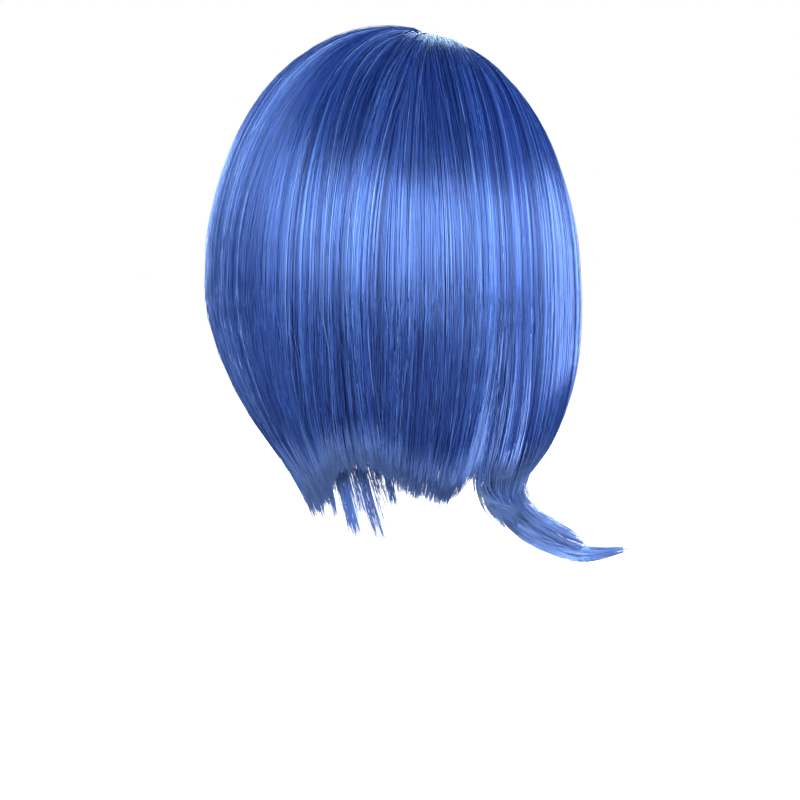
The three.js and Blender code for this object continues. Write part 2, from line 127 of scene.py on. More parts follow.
def reach_of(path):
    """How far along a path each of its points lies."""
    return np.concatenate([[0], np.cumsum(np.linalg.norm(np.diff(path, axis=0), axis=1))])


def at_reach(wanted, reach, path):
    """The points of a path at the wanted distances along it."""
    return np.stack([np.interp(wanted, reach, path[:, axis]) for axis in range(3)], axis=1)


def skirt_share(z, top):
    return np.clip((top - z) / (top - HAIR["bottom"]), 0, MOST_SKIRT)


def left_draw(z):
    """How far the hair on the wearer's left draws in at height z. Its last tufts hang straighter."""
    share = skirt_share(z, LEFT_DRAW_TOP)
    share = np.minimum(share, STRAIGHT_FROM) + HEM_STRAIGHTENS * np.maximum(share - STRAIGHT_FROM, 0)
    return 1 - DRAW_IN["left"][0] * share ** DRAW_IN["left"][1]


def half_sizes(z, x_sign):
    """The hair's half width on one side, its half length and the place of its middle, at height z."""
    share = skirt_share(z, HAIR["widest_z"])
    sine = np.clip((z - HAIR["widest_z"]) / (HAIR["top"] - HAIR["widest_z"]), 0, 1)
    dome = np.sqrt(1 - sine**2) ** HAIR["fullness"]
    right = 1 - DRAW_IN["right"][0] * share ** DRAW_IN["right"][1]
    length = 1 - DRAW_IN["length"][0] * share ** DRAW_IN["length"][1]
    width = np.where(x_sign > 0, left_draw(z), right)
    middle = HAIR["centre_y"] + HAIR["back_shift"] * share**2
    return HAIR["half_width"] * width * dome, HAIR["half_length"] * length * dome, middle


def skirt_point(angle, z, depth):
    """Points on the skirt, below the widest level. angle runs from the back towards the wearer's left."""
    across, along, middle = half_sizes(z, np.sin(angle))
    return np.stack([
        (across - depth) * np.sin(angle),
        middle + (along - depth) * np.cos(angle),
        np.broadcast_to(z, np.shape(angle)) + 0.0,
    ], axis=-1)


def dome_point(plan_x, plan_y, depth):
    """Points on the dome above a place of the unit disc."""
    radius = np.clip(np.hypot(plan_x, plan_y), 0, 1)
    cosine = radius ** (1 / HAIR["fullness"])
    rise = HAIR["top"] - HAIR["widest_z"]
    z = HAIR["widest_z"] + (rise - depth) * np.sqrt(np.clip(1 - cosine**2, 0, 1))
    draw_in = np.where(plan_x > 0, left_draw(z), 1)
    return np.stack([
        (HAIR["half_width"] * draw_in - depth) * plan_x,
        HAIR["centre_y"] + (HAIR["half_length"] - depth) * plan_y,
        z,
    ], axis=-1)


# ------------------------------------------------------------------ smooth noise round the head

def ring_noise(angle, features, seed):
    """Smooth noise of period one turn, about -1 to 1, with features of the given number per turn."""
    draw = np.random.default_rng(seed)
    low, high = max(1, int(features * 0.5)), int(features * 1.5) + 1
    total = np.zeros_like(angle)
    weight = 0.0
    for count in range(low, high + 1, max(1, (high - low) // 9)):
        total += math.sqrt(2) * np.sin(count * angle + draw.uniform(0, 2 * PI))
        weight += 1
    return total / math.sqrt(weight)


def waves(angle, parts):
    """Noise round the head, added up from parts of an amount, a number of features and a seed."""
    return sum(amount * ring_noise(angle, features, seed) for amount, features, seed in parts)


# ------------------------------------------------------------------ strands

STYLES = 64  # colour styles of a strand, each a column of the UV square
SIDES = 3
CROWN_FACES_UP = 1.2  # how much more a strand on the crown faces up than out


def strand_mesh(name, paths, widths, styles):
    """One mesh of closed, tapered, three-sided strands.

    paths is (strands, points, 3) in the head's frame, widths is (strands, points) and styles is the
    colour style of each strand. The UV map runs over the style's column and from root to tip.
    """
    count, points, _ = paths.shape
    along = unit(np.gradient(paths, axis=1))
    outward = paths - np.array([0.0, HAIR["centre_y"], 0.0])
    outward[..., 2] = np.maximum(outward[..., 2], 0) * CROWN_FACES_UP
    outward = unit(outward - along * np.sum(outward * along, axis=2, keepdims=True))
    across = np.cross(along, outward)
    ring = []
    for side in range(SIDES):
        turn = 2 * PI * side / SIDES
        ring.append(across * math.sin(turn) + outward * math.cos(turn))
    offsets = np.stack(ring, axis=2) * (widths[:, :, None, None] / 2)
    corners = to_row(paths[:, :, None, :] + offsets)

    index = np.arange(count * points * SIDES).reshape(count, points, SIDES)
    here, there = index[:, :-1, :], index[:, 1:, :]
    quads = np.stack([
        here, np.roll(here, -1, axis=2), np.roll(there, -1, axis=2), there,
    ], axis=-1).reshape(-1, 4)
    roots = index[:, 0, ::-1].reshape(-1, SIDES)
    tips = index[:, -1, :].reshape(-1, SIDES)

    mesh = bpy.data.meshes.new(name)
    mesh.vertices.add(corners.size // 3)
    mesh.vertices.foreach_set("co", corners.reshape(-1).astype(np.float32))
    loops = np.concatenate([quads.reshape(-1), roots.reshape(-1), tips.reshape(-1)])
    sizes = np.concatenate([np.full(len(quads), 4), np.full(len(roots) + len(tips), SIDES)])
    mesh.loops.add(len(loops))
    mesh.loops.foreach_set("vertex_index", loops.astype(np.int32))
    mesh.polygons.add(len(sizes))
    mesh.polygons.foreach_set("loop_start", (np.cumsum(sizes) - sizes).astype(np.int32))
    mesh.update(calc_edges=True)
    mesh.validate()
    mesh.polygons.foreach_set("use_smooth", np.ones(len(sizes), bool))

    column = (np.asarray(styles)[:, None, None, None] + np.zeros((1, points - 1, SIDES, 1)))
    edge = np.array([0.0, 1.0, 1.0, 0.0])
    u = (column + 0.15 + 0.7 * (np.arange(SIDES)[None, None, :, None] + edge) / SIDES) / STYLES
    rows = np.linspace(0.01, 0.99, points)
    low, high = rows[:-1], rows[1:]
    v = np.stack([low, low, high, high], axis=-1)[None, :, None, :] + np.zeros_like(u)
    caps_u = np.repeat((np.asarray(styles) + 0.5) / STYLES, SIDES)
    spread = np.tile(np.array([-0.2, 0.2, 0.0]) / STYLES, count)
    lift = np.tile(np.array([0.0, 0.0, 0.006]), count)
    uv = np.concatenate([
        np.stack([u.reshape(-1), v.reshape(-1)], axis=1),
        np.stack([caps_u + spread, 0.001 + lift], axis=1),
        np.stack([caps_u + spread, 0.992 + lift], axis=1),
    ])
    layer = mesh.uv_layers.new(name="OFBake")
    layer.data.foreach_set("uv", uv.reshape(-1).astype(np.float32))
    piece = bpy.data.objects.new(name, mesh)
    bpy.context.scene.collection.objects.link(piece)
    return piece


DOME_CLOSER = 1.7  # how many times closer the points lie on the dome than below it


def resample(paths, points):
    """Paths with their points spread along each length, closer together where they cross the dome."""
    steps = np.linalg.norm(np.diff(paths, axis=1), axis=2)
    steps = steps * np.where(paths[:, 1:, 2] > HAIR["widest_z"], DOME_CLOSER, 1.0)
    reach = np.concatenate([np.zeros((len(paths), 1)), np.cumsum(steps, axis=1)], axis=1)
    return np.stack([
        at_reach(np.linspace(0, far[-1], points), far, path) for far, path in zip(reach, paths)
    ])


# ------------------------------------------------------------------ how the hair lies

BIG_LOCKS = 84
SMALL_LOCKS = 420
LOCK_WISPS = 26
LOCK_CURVE = np.array([
    [-104, -40, -70], [-101, -38, -98], [-89, -34, -135], [-73, -31, -162], [-69, -31, -183],
    [-79, -34, -199], [-97, -38, -211], [-121, -44, -220], [-151, -48, -216],
], float)
LOCK_HALF = np.array([
    [18, 9], [18, 9], [17, 9], [15, 9.5], [12, 9.5], [11, 10], [10, 9.5], [8, 7], [3, 2],
], float)
LOCK_ACROSS = np.array([-0.25, 1.0, 0.0])
LOCK_STEPS = 60  # points of the curve as first laid out
LOCK_HANG_Z = -150.0  # the level the lock's strands would hang to if they weren't gathered
LOCK_UPPER_POINTS = 80
LOCK_DEPTH = 4.5  # mm, the depth at the middle of the lock
LOCK_THROAT = 0.6  # the share of the curve past which strands flip out
LOCK_JOIN = 4.0  # mm above the curve at which the hanging path ends


def hem_height(angle):
    """The lowest level of the hair at an angle from the back, in degrees towards the wearer's left."""
    places = [
        -180, -132, -104, -60, -52, -50, -48, -45, -40, -33, -27, -22, -18, -10, -2, 4, 9, 13, 18,
        23, 29, 34, 40, 46, 52, 58, 63, 70, 110, 125, 132, 180,
    ]
    levels = [
        -6, -150, -150, -160, -160, -160, -164, -170, -174, -175, -172, -165, -158, -153, -153, -158,
        -166, -163, -177, -166, -183, -170, -182, -170, -192, -188, -168, -160, -158, -152, -138, -6,
    ]
    return np.interp(np.degrees(angle), places, levels)


def tuft_share(angle):
    """Where the hem breaks up into pointed tufts, on the wearer's left of the nape."""
    turn = np.degrees(angle)
    return smooth(turn, 12, 22) * (1 - smooth(turn, 62, 70))


ROOT_ROWS = 10.0  # mm from the parting over which the strands are rooted, the outermost nearest to it
WHORL_ROWS = 8.0  # mm more of it round the whorl
ROOT_RISE = 4.0  # mm of length in which a strand climbs from the scalp to where it lies
SCALP_OUT = 3.2  # the scalp sheet's face, above the head
INNERMOST = 8.0  # mm, the depth of the strands that are rooted farthest from the parting
DOME_POINTS = 60  # of a path as first laid out, with as many again down to the hem
DOME_SWEEP = ((0.035, 5, 11), (0.010, 23, 12))  # sideways, the same for neighbours
HANG_DRIFT = ((0.02, 9, 13),)
BIG_PULL, BIG_LATE = 0.16, 2  # how far, and how late, strands close up with their big lock
SMALL_PULL, SMALL_LATE = 0.22, 1.5
SWIRL_LATE = 2.2
STRAY_TURN, BEND_TURN = 0.012, 0.006  # radians by which single strands stray and bend


def near_whorl(angle):
    """1 for strands that hang straight behind the whorl, 0 for those that leave the parting."""
    return np.clip(1 - np.abs(np.degrees(angle)) / 60, 0, 1)


def root_place(angle, draw):
    """The place on the parting or the whorl that a strand at this angle leaves from, in plan, in mm."""
    turn = np.abs(np.degrees(angle)) / 180
    y = WHORL[1] + (PARTING_FRONT_Y - WHORL[1]) * turn**0.9 + draw.normal(0, 4, len(angle))
    x = WHORL[0] + np.sign(angle) * 0.3 + draw.normal(0, 3, len(angle)) * near_whorl(angle)
    return x, y


def swirl(angles):
    """How far, in radians, hair beside the front lock sweeps towards the wearer's left at its hem."""
    turn = np.degrees(angles)
    return np.radians(5 * smooth(turn, -66, -46) * (1 - smooth(turn, -34, -8)))


ROOT_STEPS = (0.15, 0.35, 0.65)  # places of the extra points in the first span of a strand


def with_root_points(paths):
    """The same paths with extra points in their first span, where a strand climbs from the scalp."""
    first, second = paths[:, 0, :], paths[:, 1, :]
    extra = [first + (second - first) * step for step in ROOT_STEPS]
    return np.concatenate([first[:, None], np.stack(extra, axis=1), paths[:, 1:]], axis=1)


def lying_strands(angles, depths, hems, draw, points, wander=1.0, pulled=1.0):
    """Strands that leave the parting or the whorl, cross the dome and hang to their hem.

    wander is how loosely each strand lies and pulled how far it closes up with its lock at the hem.
    """
    count = len(angles)
    wander = np.broadcast_to(wander, count)[:, None]
    pulled = np.broadcast_to(pulled, count)[:, None]
    t = np.linspace(0, 1, DOME_POINTS)[None, :]
    root_x, root_y = root_place(angles, draw)
    plan_x0 = (root_x / HAIR["half_width"])[:, None]
    plan_y0 = ((root_y - HAIR["centre_y"]) / HAIR["half_length"])[:, None]
    end_x, end_y = np.sin(angles)[:, None], np.cos(angles)[:, None]
    run = np.hypot((end_x - plan_x0) * HAIR["half_width"], (end_y - plan_y0) * HAIR["half_length"])
    rows = ROOT_ROWS * np.clip(depths / INNERMOST, 0, 1) + draw.uniform(0, 1, count)
    rows += WHORL_ROWS * near_whorl(angles) * draw.uniform(0, 1, count)
    start_share = rows[:, None] / run
    share = start_share + (1 - start_share) * t
    plan_x = plan_x0 + (end_x - plan_x0) * share
    plan_y = plan_y0 + (end_y - plan_y0) * share
    sweep_by = waves(angles, DOME_SWEEP)[:, None] * np.sin(PI * t) * np.sqrt(wander)
    plan_x, plan_y = plan_x + sweep_by * end_y, plan_y - sweep_by * end_x
    outside = np.maximum(np.hypot(plan_x, plan_y), 1)
    dome = dome_point(plan_x / outside, plan_y / outside, depths[:, None])

    drop = np.linspace(0, 1, DOME_POINTS + 1)[None, 1:]
    z = HAIR["widest_z"] + (hems[:, None] - HAIR["widest_z"]) * drop
    pull = BIG_PULL * to_lock_middle(angles, BIG_LOCKS)[:, None] * drop**BIG_LATE
    pull = (pull + SMALL_PULL * to_lock_middle(angles, SMALL_LOCKS)[:, None] * drop**SMALL_LATE) * pulled
    drift = waves(angles, HANG_DRIFT)[:, None] * drop + swirl(angles)[:, None] * drop**SWIRL_LATE
    stray = draw.normal(0, STRAY_TURN, count)[:, None] * drop**2 * wander
    bend = draw.normal(0, BEND_TURN, count)[:, None]
    bend = bend * np.sin(2 * PI * drop + draw.uniform(0, 6, count)[:, None])
    skirt = skirt_point(angles[:, None] + pull + drift + stray + bend * wander, z, depths[:, None])
    paths = np.concatenate([dome, skirt], axis=1)

    # Strands whose hem is above the widest level stop on the dome.
    place = np.arange(paths.shape[1])
    for i in np.flatnonzero(hems > HAIR["widest_z"]):
        top = np.argmax(paths[i, :, 2])
        below = np.flatnonzero((paths[i, :, 2] < hems[i]) & (place > top))
        last = below[0] if len(below) else place[-1]
        paths[i] = at_reach(np.linspace(0, last, len(place)), place, paths[i])
    return rooted(with_root_points(resample(paths, points - len(ROOT_STEPS))))


def to_lock_middle(angles, locks):
    """How far each angle is from the middle of its lock, when the head is shared out into so many."""
    return (np.floor(angles / (2 * PI) * locks) + 0.5) * 2 * PI / locks - angles


def rooted(paths):
    """The same paths, but rooted in the scalp sheet and climbing quickly to where they lie."""
    root = paths[:, 0, :]
    size = np.array([HEAD["half_width"], HEAD["half_length"]]) + SCALP_OUT
    flat = np.sum((root[:, :2] / size) ** 2, axis=1)
    scalp_z = (HEAD["crown"] + SCALP_OUT) * np.sqrt(np.clip(1 - flat, 0.04, 1))
    steps = np.linalg.norm(np.diff(paths, axis=1), axis=2)
    reach = np.concatenate([np.zeros((len(paths), 1)), np.cumsum(steps, axis=1)], axis=1)
    paths[..., 2] -= (root[:, 2] - scalp_z)[:, None] * np.exp(-reach / ROOT_RISE)
    return paths


def lock_curve(t):
    """The lock's middle line, its half sizes and its directions across and out, at places along it."""
    knots = np.linspace(0, 1, len(LOCK_CURVE))
    centre = np.stack([spline(t, knots, LOCK_CURVE[:, axis]) for axis in range(3)], axis=1)
    half = np.stack([spline(t, knots, LOCK_HALF[:, axis]) for axis in range(2)], axis=1)
    along = unit(np.gradient(centre, axis=0))
    across = unit(LOCK_ACROSS - along * (along @ LOCK_ACROSS)[:, None])
    return centre, half, across, np.cross(across, along)


def lock_strands(angles, depths, tips, short, draw, points):
    """Strands that gather into the front lock, which draws inwards and then flips outwards.

    tips says how far along the lock each strand reaches, and short which strands belong to the upper,
    shorter tip.
    """
    count = len(angles)
    upper = lying_strands(angles, depths, np.full(count, LOCK_HANG_Z), draw, LOCK_UPPER_POINTS)
    degrees = np.degrees(angles)
    width_place = np.interp(degrees, [-132, -104, -80, -50], [-1, 0.5, 1.2, 3.0])
    slide_from = np.interp(degrees, [-104, -50], [0, 20])
    slide_to = np.interp(degrees, [-104, -50], [30, 34])
    depth_place = np.clip(1 - depths / LOCK_DEPTH, -1, 1)
    centre, half, across, out = lock_curve(np.linspace(0, 1, LOCK_STEPS))
    # Wisps: the strands of one wisp close up towards their tip.
    wisp = draw.integers(0, LOCK_WISPS, count)
    wisp_width = draw.uniform(-0.8, 0.8, LOCK_WISPS)[wisp]
    wisp_depth = draw.uniform(-0.9, 0.9, LOCK_WISPS)[wisp]
    flips = tips > LOCK_THROAT
    paths = np.empty((count, points, 3))
    for i in range(count):
        last = max(8, int(round((LOCK_STEPS - 1) * tips[i])))
        step = np.arange(last + 1)
        close = (step / last) ** 2.5 * 0.85 * flips[i]
        place_across = width_place[i] * (1 - close) + (wisp_width[i] + 0.6 * short[i]) * close
        place_out = depth_place[i] * (1 - close) + wisp_depth[i] * close
        place_out += 0.8 * short[i] * (step / last) ** 2
        low = (
            centre[step]
            + across[step] * (half[step, 0] * place_across)[:, None]
            + out[step] * (half[step, 1] * place_out)[:, None]
        )
        high = upper[i][upper[i][:, 2] > LOCK_CURVE[0, 2] + LOCK_JOIN]
        # Slide from the hanging path on to the lock's own path over the first half of the curve.
        mix = smooth(step, slide_from[i], slide_to[i])[:, None]
        guide = skirt_point(np.full(last + 1, angles[i]), low[:, 2], depths[i])
        whole = np.concatenate([high, guide * (1 - mix) + low * mix])
        reach = reach_of(whole)
        paths[i] = at_reach(np.linspace(0, reach[-1], points), reach, whole)
    return paths


def spline(t, knots, values):
    """A smooth curve through values at evenly spaced knots (Catmull-Rom)."""
    step = knots[1] - knots[0]
    i = np.clip(np.floor(t / step).astype(int), 0, len(knots) - 2)
    f = t / step - i
    padded = np.concatenate([[2 * values[0] - values[1]], values, [2 * values[-1] - values[-2]]])
    a, b, c, d = (padded[i + k] for k in range(4))
    return 0.5 * (2 * b + (c - a) * f + (2 * a - 5 * b + 4 * c - d) * f**2 + (3 * b - a - 3 * c + d) * f**3)


ROOT_WIDTH = 0.55  # of the full width
TAPER_FROM = 0.965  # of the length


def strand_widths(count, points, middle, draw, tip=0.3):
    """Widths that are thin at the root, even along the length and taper at the tip."""
    t = np.linspace(0, 1, points)[None, :]
    size = middle * draw.uniform(0.75, 1.25, count)[:, None]
    at_root = ROOT_WIDTH + (1 - ROOT_WIDTH) * smooth(t, 0, 0.08)
    return size * at_root * (1 - (1 - tip) * smooth(t, TAPER_FROM, 1.0))


PALE_SHARE = 0.03  # of the strands are pale
PALE_TONE = 0.9
TONE_WAVES = ((0.035, 26, 21), (0.05, 90, 22))


def strand_styles(angles, draw, base=0.5, spread=0.13):
    """Colour styles: neighbours share a tone, at several scales, and each strand differs a little."""
    tone = base + waves(angles, TONE_WAVES)
    tone = tone + np.clip(draw.normal(0, spread, len(angles)), -2 * spread, 2 * spread)
    tone = np.where(draw.uniform(0, 1, len(angles)) < PALE_SHARE, PALE_TONE, tone)
    return np.clip(np.round(tone * STYLES), 0, STYLES - 1).astype(int)


# ------------------------------------------------------------------ materials

def new_material(name):
    """A material, its node tree and its main shader."""
    material = bpy.data.materials.new(name)
    material.use_nodes = True
    return material, material.node_tree, material.node_tree.nodes.get("Principled BSDF")


def feed(tree, node, inputs):
    """Sets a node's inputs, by name or number, to values or to other nodes' outputs."""
    for key, value in inputs.items():
        if isinstance(value, bpy.types.NodeSocket):
            tree.links.new(value, node.inputs[key])
        else:
            node.inputs[key].default_value = value


def add_node(tree, kind, inputs, **settings):
    node = tree.nodes.new("ShaderNode" + kind)
    for key, value in settings.items():
        setattr(node, key, value)
    feed(tree, node, inputs)
    return node


def add_ramp(tree, value, stops):
    """A colour ramp through stops of a place and a colour. Returns its colour output."""
    node = add_node(tree, "ValToRGB", {"Fac": value})
    ramp = node.color_ramp
    for element, (place, colour) in zip(ramp.elements, (stops[0], stops[-1])):
        element.position, element.color = place, (*colour, 1)
    for place, colour in stops[1:-1]:
        ramp.elements.new(place).color = (*colour, 1)
    return node.outputs["Color"]


def add_relief(tree, height, strength, depth):
    node = add_node(tree, "Bump", {"Strength": strength, "Distance": depth, "Height": height})
    return node.outputs["Normal"]


# The root colour is a painted greyish sheen at the crown. The tip colour is painted light on the ends that lie
# in shade at the hem, at the lock's throat and at its flip.
ROOT_PAINTED_SHEEN = (0.13, 0.19, 0.36)
TIP_PAINTED_LIGHT = (0.24, 0.40, 0.90)
ROOT_SHEEN_TO = 0.12  # of the length
HAIR_GLOSS_TINT = (0.62, 0.92, 1.0)


def hair_material(name, stops, roughness, tip_light_from, tip_light_mix, root_sheen_mix=0.7):
    """Colour by the strand's style, with a painted greyish sheen at the root and painted light, paler, towards
    the tip.
    """
    material, tree, shader = new_material(name)
    place = add_node(tree, "UVMap", {}, uv_map="OFBake")
    split = add_node(tree, "SeparateXYZ", {"Vector": place.outputs["UV"]})
    column = add_node(tree, "Math", {0: split.outputs["X"], 1: 1 / STYLES}, operation="SNAP")
    colour = add_ramp(tree, column.outputs["Value"], stops)
    for reach, painted_light_colour in (
        ({"From Max": ROOT_SHEEN_TO, "To Min": root_sheen_mix, "To Max": 0.0}, ROOT_PAINTED_SHEEN),
        ({"From Min": tip_light_from, "To Max": tip_light_mix}, TIP_PAINTED_LIGHT),
    ):
        share = add_node(
            tree, "MapRange", {**reach, "Value": split.outputs["Y"]}, interpolation_type="SMOOTHSTEP"
        )
        inputs = {"Factor": share.outputs["Result"], "A": colour, "B": (*painted_light_colour, 1)}
        colour = add_node(tree, "Mix", inputs, data_type="RGBA").outputs["Result"]
    feed(tree, shader, {
        "Base Color": colour, "Roughness": roughness, "Metallic": 0.5, "Specular IOR Level": 1.0,
        "Specular Tint": (*HAIR_GLOSS_TINT, 1),
    })
    return material


HAIR_STOPS = [
    (0.00, (0.003, 0.010, 0.062)),
    (0.30, (0.006, 0.020, 0.135)),
    (0.55, (0.014, 0.041, 0.230)),
    (0.80, (0.040, 0.105, 0.350)),
    (1.00, (0.170, 0.260, 0.490)),
]
UNDER_STOPS = [(0.0, (0.008, 0.020, 0.12)), (1.0, (0.03, 0.08, 0.34))]
HAIR_ROUGHNESS = 0.27
UNDER_ROUGHNESS = 0.5

# where the painted light at the tip begins along a strand, and how much of it and of the painted root sheen
# there is; the side, lock and nape copies begin their painted tip light earlier, as their ends lie in shade
HAIR_MATERIAL = hair_material("hair_fibre_blue", HAIR_STOPS, HAIR_ROUGHNESS, 0.92, 0.7)
SIDE_MATERIAL = hair_material("hair_fibre_side", HAIR_STOPS, HAIR_ROUGHNESS, 0.78, 0.75)
NAPE_MATERIAL = hair_material("hair_fibre_nape", HAIR_STOPS, HAIR_ROUGHNESS, 0.45, 0.3, 0.0)
LOCK_MATERIAL = hair_material("hair_fibre_lock", HAIR_STOPS, HAIR_ROUGHNESS, 0.55, 0.32)
UNDER_MATERIAL = hair_material("hair_fibre_under", UNDER_STOPS, UNDER_ROUGHNESS, 0.9, 0.15, 0.0)

# ------------------------------------------------------------------ the hair pieces

# name, from and to (degrees from the back, towards the wearer's left), the body, the CAD nodes replaced
SECTIONS = [
    ("back_hair_left", 4, 62, "back_hair_left", ["back_hair_left", "crown_hair_left"]),
    ("back_hair_right", -50, 4, "back_hair_right", ["back_hair_right", "crown_hair_right"]),
    ("side_hair_left", 62, 132, "side_hair_left", ["side_hair_left"]),
]
OVERLAP = 0.8  # degrees by which neighbouring sections mix
STRAND_POINTS = 28
LOCK_POINTS = 34
FULL_DENSITY = 32  # strands to a degree
PER_DEGREE = FULL_DENSITY
MOST_TRIANGLES = 190_000  # in one piece
STRAND_WIDTH = 0.44  # mm, in the middle of its length
OUTER_DEPTH = 5.5  # mm of the outer layer
INNER_DEPTH = 10.0
INNER_SHARE = 0.32
INNER_PULLED = 0.2
STRAY_SHARE = 0.008
DEPTH_WAVES = ((0.5, 9, 31), (0.35, 45, 32), (0.2, 160, 33))


def finish_strands(name, paths, widths, styles, body, material, nodes):
    """Makes the pieces of one section, puts them on the cap when that is their body and hides the CAD nodes
    they replace.
    """
    strand_triangles = (paths.shape[1] - 1) * SIDES * 2 + 2
    pieces = max(1, math.ceil(len(paths) * strand_triangles / MOST_TRIANGLES))
    for i in range(pieces):
        pick = slice(i, None, pieces)
        label = f"{name}_strands" if pieces == 1 else f"{name}_strands_{i + 1}"
        piece = strand_mesh(label, paths[pick], widths[pick], styles[pick])
        piece.data.materials.append(material)
        if body == "cap":
            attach(piece, "cap")
        else:
            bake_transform(piece)
        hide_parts(*nodes)


def lock_depth(angles):
    """Strands lie deeper at the edges of their lock, which gives each lock a rounded face."""
    fine = np.abs((angles / (2 * PI) * SMALL_LOCKS) % 1 - 0.5) * 2
    return 0.35 * fine**2 + 1.2 + waves(angles, DEPTH_WAVES)


def draw_layers(count, draw):
    """Which strands lie outside, which under them, and which stray a little above the rest."""
    layer = draw.uniform(0, 1, count) ** 1.5
    inner = draw.uniform(0, 1, count) < INNER_SHARE
    depth = np.where(inner, draw.uniform(OUTER_DEPTH, INNER_DEPTH, count), layer * OUTER_DEPTH)
    stray = draw.uniform(0, 1, count) < STRAY_SHARE
    return np.where(stray, -draw.uniform(0.2, 0.9, count), depth), inner


def cut_hems(angles, inner, draw):
    """The hem of each strand: the cut line, a few mm uneven, and a little higher in the inner layer."""
    return hem_height(angles + swirl(angles)) + draw.gamma(1.6, 1.7, len(angles)) - 3 + inner * 1.5


def inner_painted_shade(styles, inner):
    """The strands beneath show only in the gaps between locks; their style is halved to a darker one there as
    painted shade.
    """
    return np.where(inner, styles // 2, styles)


LOOSE_SHARE = 0.02  # of the strands lie loosely over the others
LOOSE_STYLE = 46
LOOSE_WANDER = 5.0
LOCK_LENGTHS = np.random.default_rng(77).normal(0, 1.3, SMALL_LOCKS + 1)  # mm, added to each small lock
TUFT_LENGTH = 13.0


def section_hair(name, low, high, body, nodes, seed):
    draw = np.random.default_rng(seed)
    count = int((high - low) * PER_DEGREE)
    angles = np.radians(draw.uniform(low - OVERLAP, high + OVERLAP, count))
    layer, inner = draw_layers(count, draw)
    depths = lock_depth(angles) + layer
    loose = (draw.uniform(0, 1, count) < LOOSE_SHARE) & ~inner
    depths = np.where(loose, lock_depth(angles) - draw.uniform(0.1, 0.8, count), depths)
    lock = np.floor(angles / (2 * PI) * SMALL_LOCKS).astype(int) % SMALL_LOCKS
    hems = cut_hems(angles, inner, draw) + LOCK_LENGTHS[lock]
    hems += tuft_share(angles) * TUFT_LENGTH * draw.uniform(0, 1, count) ** 1.5
    wander = np.where(loose, LOOSE_WANDER, 1.0)
    paths = lying_strands(
        angles, depths, hems, draw, STRAND_POINTS, wander, np.where(inner, INNER_PULLED, 1)
    )
    wider = 1 + 1.1 * inner[:, None] - 0.35 * loose[:, None]
    widths = strand_widths(count, STRAND_POINTS, STRAND_WIDTH, draw) * wider
    # inner strands get darker styles: painted shade for the gaps between locks
    styles = inner_painted_shade(strand_styles(angles, draw), inner)
    styles = np.where(loose, np.maximum(styles, LOOSE_STYLE), styles)
    finish_strands(name, paths, widths, styles, body, HAIR_MATERIAL, nodes)


for number, (name, low, high, body, nodes) in enumerate(SECTIONS):
    section_hair(name, low, high, body, nodes, 100 + number)


SHORT_TIP = 0.885  # of the lock's curve
SHORT_TIP_DEPTH = 2.9  # mm, above which a strand belongs to the short tip
HANGING_SHARE = 0.62


def gathered_hair(body, low, high, density, look, spread, nodes, seed):
    """Hair of the wearer's right side, which gathers into the front lock."""
    draw = np.random.default_rng(seed)
    count = int((high - low) * PER_DEGREE * density)
    degrees = draw.uniform(low - OVERLAP, high + OVERLAP, count)
    angles = np.radians(degrees)
    layer, inner = draw_layers(count, draw)
    depths = lock_depth(angles) + layer
    if body == "front_lock":
        # The outer strands end in the upper, shorter tip, and the rest in the long one.
        long_tip = 1 - np.minimum(draw.gamma(2.0, 0.035, count), 0.5)
        short_tip = SHORT_TIP - np.minimum(draw.gamma(2.0, 0.035, count), 0.4)
        short = depths < SHORT_TIP_DEPTH
        tips = np.where(short, short_tip, long_tip)
        tips = np.where(draw.uniform(0, 1, count) < 0.3, draw.uniform(0.5, 0.85, count), tips)
    else:
        tips = np.interp(degrees, [-104, -80, -50], [0.56, 0.52, 0.47]) + draw.normal(0, 0.04, count)
        short = np.zeros(count)
    paths = lock_strands(angles, depths, tips, short, draw, LOCK_POINTS)
    # Towards the back more and more strands hang to the hem instead of joining the lock.
    hanging = draw.uniform(0, 1, count) < HANGING_SHARE * smooth(degrees, -70, -58)
    hems = cut_hems(angles, inner, draw)
    hung = lying_strands(
        angles, depths, hems, draw, LOCK_POINTS, 1.0, np.where(inner, INNER_PULLED, 1)
    )
    paths = np.where(hanging[:, None, None], hung, paths)
    widths = strand_widths(count, LOCK_POINTS, STRAND_WIDTH, draw) * (1 + 0.6 * inner[:, None])
    # inner strands get darker styles: painted shade for the gaps between locks
    styles = inner_painted_shade(strand_styles(angles, draw, spread=spread), inner)
    finish_strands(body, paths, widths, styles, body, look, nodes)


FRINGE_POINTS = 26
FRINGE_DEGREES = 96
FRINGE_DENSITY = 1.15
FRINGE_HEM = -8.0
FRINGE_LOWEST = -10.0


def fringe():
    """The hair that falls forward from the parting, cut across above the eyes."""
    draw = np.random.default_rng(202)
    count = int(FRINGE_DEGREES * PER_DEGREE * FRINGE_DENSITY)
    turn = draw.uniform(180 - FRINGE_DEGREES / 2, 180 + FRINGE_DEGREES / 2, count)
    angles = np.radians(np.where(turn > 180, turn - 360, turn))
    layer = draw.uniform(0, 1, count) ** 1.5
    depths = lock_depth(angles) + layer * 4
    hems = FRINGE_HEM + draw.exponential(3.5, count) + 3 * ring_noise(angles, 40, 41)
    hems = np.maximum(hems, FRINGE_LOWEST)
    paths = lying_strands(angles, depths, hems, draw, FRINGE_POINTS)
    widths = strand_widths(count, FRINGE_POINTS, 0.5, draw)
    styles = strand_styles(angles, draw)
    finish_strands("fringe", paths, widths, styles, "fringe", HAIR_MATERIAL, ["fringe"])


gathered_hair("side_hair_right", -104, -50, 1.35, SIDE_MATERIAL, 0.13, ["side_hair_right"], 103)
gathered_hair("front_lock", -132, -104, 1.5, LOCK_MATERIAL, 0.2, ["front_lock_right"], 201)
fringe()


UNDER_POINTS = 20
UNDER_DENSITY = 0.55
UNDER_HEM = -131


